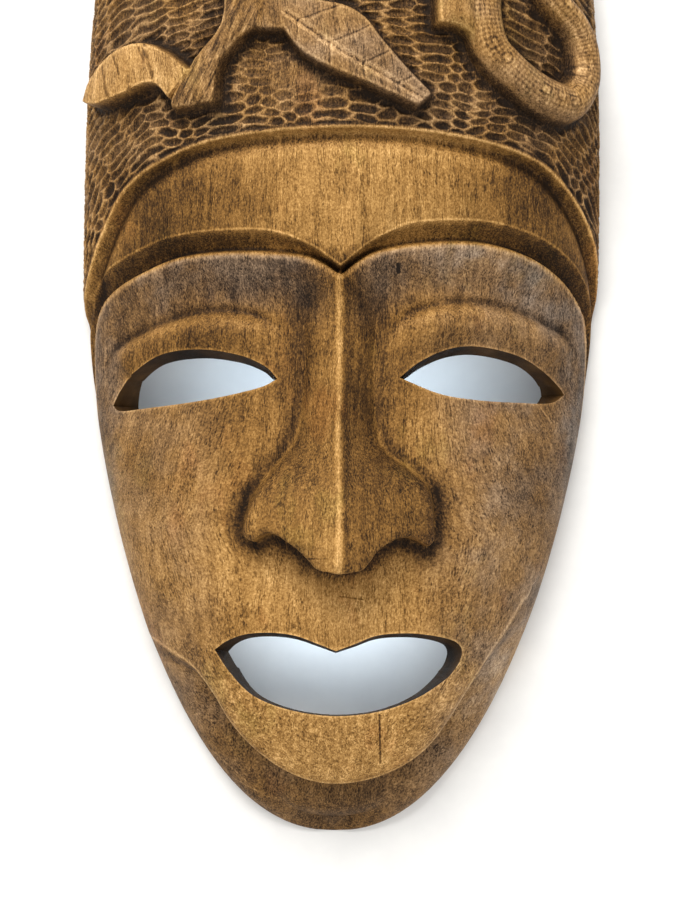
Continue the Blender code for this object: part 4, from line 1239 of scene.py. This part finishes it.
# Many bands paint light and shade. Painted shade: the dark groove over the brow ridge with its upper
# wall, the dark lid creases, the soft dark bands round the nose and its wings, and the dark band
# right of the nose's crest. The dark cove under the hairline is stain and painted shade. Painted
# shadow: the dark bands under the lip plate's edge, under the nose and round the branch, leaves and
# snake. Painted highlight: the light lids under the creases and the light edge of the wings. The
# light line on the hairline's edge is rubbed wood and a painted highlight.
# Zone, line, distance of the band's middle from the line, half its width, change of tone.
LINE_BANDS = [("all", "hair", -2.9, 2.3, -0.34), ("all", "hair", -7.2, 2.6, 0.10),
              ("all", "hair", 0.15, 0.7, 0.44), ("all", "hair", 1.4, 1.1, -0.24),
              ("all", "ridge", 1.4, 1.2, -0.42), ("all", "ridge", 3.6, 3.4, -0.24),
              ("all", "ridge", -0.8, 1.5, 0.30), ("all", "groove", 0.3, 0.7, 0.30),
              ("all", "groove", -1.4, 1.8, -0.10), ("all", "lip", -2.0, 3.0, -0.24),
              ("all", "lip", 0.2, 0.7, 0.34), ("all", "nose", -1.0, 7.0, -0.17),
              ("all", "proud", -1.6, 2.4, -0.40), ("all", "proud", -0.2, 1.6, -0.22),
              ("all", "proud", 1.1, 0.8, 0.20), ("all", "hole", 0.0, 1.1, 0.26),
              ("all", "spot", 0.5, 1.1, 0.22), ("all", "spot", 1.9, 0.7, -0.24),
              ("leaf", "rib", 0.9, 1.2, 0.28), ("leaf", "rib", 0.0, 0.5, -0.36),
              ("leaf", "vein", 4.0, 0.6, -0.30), ("leaf", "vein", 4.9, 0.8, 0.14),
              ("crease", "crease", 0.2, 2.0, -0.30), ("crease", "crease", -3.5, 2.5, 0.08),
              ("wings", "nose", -1.4, 2.2, -0.16), ("wings", "nose", 0.9, 0.9, 0.18),
              ("under_nose", "nose", -1.5, 4.0, -0.22), ("under_nose", "nose", -3.0, 7.0, -0.16),
              ("nose", "crest", 0.0, 1.7, 0.36), ("nose", "crest", 2.6, 1.8, -0.14)]
VEIN_PITCH = 12.0
SCALE_PITCH = 2.2
# Start, end and half width of a short mark in millimetres, and how dark it is; below 0 is light.
MARKS = [((18.2, -9.2), (18.4, -11.2), 0.9, 0.7), ((14.5, -154.5), (15.2, -171.5), 0.5, 0.55),
         ((34.5, -146.5), (37.5, -141.0), 0.4, 0.4), ((-9.5, -102.6), (-2.8, -102.3), 0.35, 0.2),
         ((1.0, -115.8), (8.4, -116.6), 0.4, 0.3), ((66.0, -53.0), (70.5, -58.5), 0.4, -0.25),
         ((-34.0, -181.0), (-20.0, -187.5), 0.4, -0.15),
         ((-41.0, -172.0), (-30.0, -181.0), 0.4, -0.15),
         ((-75.4, 59.5), (-72.8, 52.2), 0.5, 0.3), ((-66.1, 59.8), (-64.0, 54.9), 0.5, 0.3)]
print("textures:", len(TEXTURES), "worn bands:", len(LINE_BANDS), "marks:", len(MARKS))

# %% [markdown]
# ## The tone of every point of the wood
# Each function adds one layer to the tone: first the textures of the wood itself, then the
# gouge cuts with their stain and painted shade, then the bands along the lines, worn or painted
# with shade, shadow and highlights, and last what is found in one place only, among it the
# painted shade on the nose's right slope. All of them read the same named values, which are
# gathered first.

# %% Layers of the wood
def read_points(n):
    """Every stored value by its name, with the place on the mask and the side of the skin."""
    at = {"place": n.make("TexCoord").outputs["Object"]}
    for attribute, names in STORED.items():
        node = n.make("Attribute", attribute_name=attribute)
        at.update(zip(names, n.parts(node.outputs["Vector"])))
    at["x"], at["y"], _ = n.parts(at["place"])
    at["side"] = n.parts(n.make("UVMap", uv_map="side").outputs[0])[0]
    at["front"] = n.rise(at["side"], 0.6, 0.4)
    return at


def bent_place(n, at):
    """The place as the grain sees it: drifted sideways, and leaning out over the cheeks."""
    slow = n.make("TexNoise", {"Vector": at["place"], "Scale": DRIFT_SCALE, "Detail": 1.0})
    swing = n.vector("SUBTRACT", slow.outputs["Color"], (0.5, 0.5, 0.5))
    drift = n.vector("MULTIPLY", swing, (DRIFT_REACH, 0.0, 0.0))
    on_right = n.rise(at["x"], LEAN_FROM, LEAN_FULL)
    outwards = n.less(on_right, n.rise(at["x"], -LEAN_FROM, -LEAN_FULL))
    down = n.math("MINIMUM", n.less(at["y"], LEAN_TOP), 0.0)
    down = n.math("MAXIMUM", down, -LEAN_REACH)
    lean = n.make("CombineXYZ", {0: n.times(LEAN, n.times(outwards, down))}).outputs[0]
    return n.vector("ADD", n.vector("ADD", at["place"], drift), lean)


def add_textures(n, at):
    """Every texture of the table, by its name."""
    at["bent"] = bent_place(n, at)
    at["by_branch"] = n.stretch(at["place"], (1, 1, 1), (0, 0, BRANCH_TURN))
    for name, (way, waves, detail, rough, twist) in TEXTURES.items():
        at[name] = n.noise(n.stretch(at[way], waves), 1.0, detail, rough, twist)


def grain_tone(n, at):
    """The slow tone, with the textures, the pores and the bark of the branch."""
    value = at["slow"]
    for name, amount in TEXTURE_TONES.items():
        value = n.add(value, n.about(at[name], amount))
    on_branch = n.rise(at["branch"], 0.0, 1.0)
    pores = n.rise(at["dashes"], 0.52, 0.64)
    pores = n.times(pores, n.rise(at["dash_rows"], 0.38, 0.58, 0.3, 1.0))
    at["pores"] = n.times(pores, n.less(1.0, n.times(0.7, on_branch)))
    value = n.add(value, n.times(PORE_TONE, n.less(at["pores"], PORE_MEAN)))
    return n.add(value, n.times(on_branch, n.about(at["bark"], BARK_TONE)))


def gouge_tone(n, at, value):
    """Stain and painted shade in the middle of each gouge cut, and rubbed light and a painted
    highlight on the sharp border round it.
    """
    net = n.make("Group", {0: at["net_s"], 1: at["net_w"]}, node_tree=gouge_net)
    at["border"] = net.outputs[0]
    uneven = n.add(at["border"], n.about(at["cloudy"], 0.35))
    by_hair = n.times(0.45, n.band(at["hair"], 2.0, 10.0))
    # the dark middle of each cut is stain and painted shade, the light border rubbed wood and a
    # painted highlight
    stain_and_painted_shade = n.add(n.add(0.60, by_hair), n.about(at["blotch"], 2.0))
    stain_and_painted_shade = n.times(stain_and_painted_shade, n.add(0.18, n.times(0.30, net.outputs[1])))
    stain_and_painted_shade = n.times(stain_and_painted_shade, n.rise(uneven, 0.90, 0.55))
    light = n.times(0.28, n.rise(uneven, 0.79, 0.98))
    return n.add(value, n.times(at["gouges"], n.less(light, stain_and_painted_shade)))


def line_tone(n, at, value):
    """Every band of the table, within its zone."""
    at["vein"] = n.math("FLOORED_MODULO", at["run"], VEIN_PITCH)
    zones = {"all": 1.0, "leaf": n.rise(at["leaf"], 0.8, 1.6), "crease": at["crease_fade"],
             "nose": n.rise(at["nose"], 0.0, 2.0), "wings": n.rise(at["y"], -0.045, -0.062),
             "under_nose": n.rise(at["y"], -0.076, -0.082)}
    for zone, line, middle, half, amount in LINE_BANDS:
        band = n.times(amount, n.band(at[line], middle, half))
        value = n.add(value, n.times(zones[zone], band))
    return value


def place_tone(n, at, value):
    """The snake's scales, the curly lip plate, painted shade on the nose's right slope and the short
    marks.
    """
    scales = n.times(n.math("SINE", n.times(SCALE_PITCH, n.add(at["run"], at["snake_off"]))),
                     n.math("SINE", n.times(SCALE_PITCH, n.less(at["run"], at["snake_off"]))))
    worn = n.times(0.25, n.rise(at["mottle"], 0.56, 0.66))
    on_snake = n.rise(at["snake_off"], 4.6, 4.0)
    value = n.less(value, n.times(on_snake, n.add(n.times(0.20, scales), worn)))
    on_plate = n.times(n.rise(at["lip"], 0.5, 3.0), n.rise(at["y"], -0.128, -0.138))
    value = n.add(value, n.times(on_plate, n.about(at["curl"], 0.7)))
    # painted shade on the nose's right slope, which faces away from the light
    painted_shade_right_of_crest = n.times(n.rise(at["nose"], 0.0, 3.0), n.rise(at["crest"], 0.5, 2.5))
    value = n.less(value, n.times(0.17, painted_shade_right_of_crest))
    for start, end, wide, amount in MARKS:
        away = n.from_line(at["x"], at["y"], start, end)
        value = n.less(value, n.times(amount, n.rise(away, wide, 0.3 * wide)))
    return value


def raw_tone(n, at):
    """The tone of the hollow. The cut walls are darker, most of all near the middle line."""
    sawn = n.rise(at["side"], 1.4, 1.6)
    outer = n.rise(n.math("ABSOLUTE", at["x"]), 0.052, 0.070)
    shade = n.times(sawn, n.less(0.30, n.times(0.20, outer)))
    return n.less(n.add(0.40, n.about(at["mottle"], 0.9)), shade)


# %% [markdown]
# ## The finished wood
# The tone becomes a colour, tinted here and there with olive and red, and dulled where the
# wood has gone grey and where a grey sheen is painted. Dark wood is a little rougher than
# rubbed wood. A very shallow bump carries the pores, the streaks and the gouge cuts down to
# what the mesh can't hold.

# %% The material
def wood_colour(n, at, value):
    """The colour of the tone, tinted in patches and dulled where the wood is grey and where a grey
    sheen is painted.
    """
    colour = n.ramp(n.times(0.8, value), COLOUR_STOPS)
    olive = n.times(0.45, n.rise(at["tint"], 0.42, 0.30))
    red = n.times(0.55, n.rise(at["tint"], 0.56, 0.68))
    colour = n.mix(olive, colour, OLIVE_TINT, "MULTIPLY")
    colour = n.mix(red, colour, RED_TINT, "MULTIPLY")
    dull = n.make("HueSaturation", {"Saturation": 0.45, "Value": 0.95, "Color": colour})
    uneven = n.times(at["grey"], n.rise(at["dulling"], 0.35, 0.65, 0.5, 1.5))
    share = n.math("MINIMUM", n.times(uneven, at["front"]), 1.0)
    return n.mix(share, colour, dull.outputs[0])


def wood():
    """The material of the mask's front, hollow and cut walls."""
    material = bpy.data.materials.new("carved_wood_worn")
    material.use_nodes = True
    tree = material.node_tree
    shader = tree.nodes["Principled BSDF"]
    n = Nodes(tree)
    at = read_points(n)
    add_textures(n, at)
    value = place_tone(n, at, line_tone(n, at, gouge_tone(n, at, grain_tone(n, at))))
    value = n.add(n.times(value, at["front"]), n.times(raw_tone(n, at), n.less(1.0, at["front"])))
    tree.links.new(wood_colour(n, at, value), shader.inputs["Base Color"])
    tree.links.new(n.rise(value, 0.1, 0.9, 0.66, 0.52), shader.inputs["Roughness"])
    height = n.add(n.times(-0.14, at["pores"]), n.times(0.12, at["streak"]))
    height = n.add(height, n.times(0.12, at["specks"]))
    scoops = n.times(0.35, n.math("POWER", at["border"], SCOOP_POWER))
    height = n.add(height, n.times(at["gouges"], scoops))
    bumps = n.make("Bump", {"Height": height, "Distance": 0.8 * MM, "Strength": 0.8})
    tree.links.new(bumps.outputs[0], shader.inputs["Normal"])
    shader.inputs["Specular IOR Level"].default_value = 0.12
    print("nodes in the wood:", len(tree.nodes))
    return material


SHARP_ANGLE = 52
finished.materials.clear()
finished.materials.append(wood())
finished.polygons.foreach_set("material_index", np.zeros(len(finished.polygons), np.int32))
finished.polygons.foreach_set("use_smooth", np.ones(len(finished.polygons), bool))
finished.set_sharp_from_angle(angle=math.radians(SHARP_ANGLE))
finished.update()
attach(mask, "root")
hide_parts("mask")

# %% [markdown]
# ## The sheet under the mask
# The mask lies over a large pale sheet with a faint grain. The sheet is a little below the
# rim, so that the two never share a plane.

# %% Floor
SHEET_REACH = 12.0
SHEET_GAP = 0.2 * MM
SHEET_COLOURS = [(0.3, (0.80, 0.81, 0.82)), (0.7, (0.86, 0.87, 0.875))]


def pale_floor():
    """A large plane with a faint paper grain."""
    corners = np.array([(-1, -1, 0), (1, -1, 0), (1, 1, 0), (-1, 1, 0)]) * SHEET_REACH
    corners[:, 2] = solid_box[0][2] - SHEET_GAP
    floor = mesh_object("floor", corners, np.array([[0, 1, 2, 3]]))
    material = bpy.data.materials.new("pale_sheet")
    material.use_nodes = True
    shader = material.node_tree.nodes["Principled BSDF"]
    n = Nodes(material.node_tree)
    grain = n.noise(n.make("TexCoord").outputs["Object"], 60.0, 4.0, 0.6)
    colour = n.ramp(grain, SHEET_COLOURS)
    material.node_tree.links.new(colour, shader.inputs["Base Color"])
    shader.inputs["Roughness"].default_value = 0.8
    floor.data.materials.append(material)
    return floor


floor = pale_floor()
print("sheet:", 2 * SHEET_REACH, "m wide")

# %% [markdown]
# ## Light and camera
# One large soft light stands beyond the top of the mask, a little to the left, and a weaker
# one fills the shadows. Small lights inside the hollow make the sheet show bright through
# the eyes and the mouth. The camera looks straight down.

# %% Lights and camera
# Name, place in metres, size in metres, power in watts and colour of the soft lights.
SOFT_LIGHTS = [("key", (-0.30, 1.05, 1.15), 0.9, 29.0, (1.0, 0.96, 0.90)),
               ("fill", (0.1, -0.9, 1.4), 1.4, 9.0, (1.0, 0.97, 0.92))]
# Name, place along the mask and width of the small lights in the hollow.
GLOWS = [("eye_glow", -0.045, 0.09), ("mouth_glow", -0.118, 0.05)]
GLOW_HEIGHT = 0.030
GLOW_DEPTH = 0.02
GLOW_POWER = 0.022
GLOW_COLOUR = (0.74, 0.88, 1.0)
SKY_COLOUR = (1.0, 0.98, 0.95, 1)
SKY_STRENGTH = 0.56


def area_light(name, place, target, size, power, colour):
    """A square soft light that looks at a target."""
    light = bpy.data.lights.new(name, "AREA")
    light.shape = "SQUARE"
    light.size = size
    light.energy = power
    light.color = colour
    thing = bpy.data.objects.new(name, light)
    thing.location = place
    aim = np.array(target, float) - np.array(place, float)
    thing.rotation_euler = (math.atan2(math.hypot(aim[0], aim[1]), -aim[2]), 0.0,
                            math.atan2(aim[0], -aim[1]) + math.pi)
    bpy.context.scene.collection.objects.link(thing)
    return thing


scene = bpy.context.scene
for name, place, size, power, colour in SOFT_LIGHTS:
    area_light(name, place, (0, 0, 0), size, power, colour)
for name, y, wide in GLOWS:
    glow = area_light(name, (0, y, GLOW_HEIGHT), (0, y, 0), wide, GLOW_POWER, GLOW_COLOUR)
    glow.data.shape = "RECTANGLE"
    glow.data.size_y = GLOW_DEPTH
world = bpy.data.worlds.new("studio")
scene.world = world
world.use_nodes = True
sky = world.node_tree.nodes["Background"]
sky.inputs[0].default_value = SKY_COLOUR
sky.inputs[1].default_value = SKY_STRENGTH
scene.view_settings.view_transform = "Standard"

CAMERA_HEIGHT = 0.620
CAMERA_X, CAMERA_Y = -0.35 * MM, -68.5 * MM
CAMERA_TURN = 0.8
METRES_PER_PIXEL = 0.000346
FRAME_PIXELS = 900
SENSOR = 24
camera_data = bpy.data.cameras.new("camera")
camera_data.sensor_fit = "VERTICAL"
camera_data.sensor_height = SENSOR
camera_data.lens = SENSOR * CAMERA_HEIGHT / (FRAME_PIXELS * METRES_PER_PIXEL)
camera = bpy.data.objects.new("camera", camera_data)
camera.location = (CAMERA_X, CAMERA_Y, CAMERA_HEIGHT)
camera.rotation_euler = (0, 0, math.radians(CAMERA_TURN))
scene.collection.objects.link(camera)
scene.camera = camera
print("lens:", round(camera_data.lens, 1), "mm")
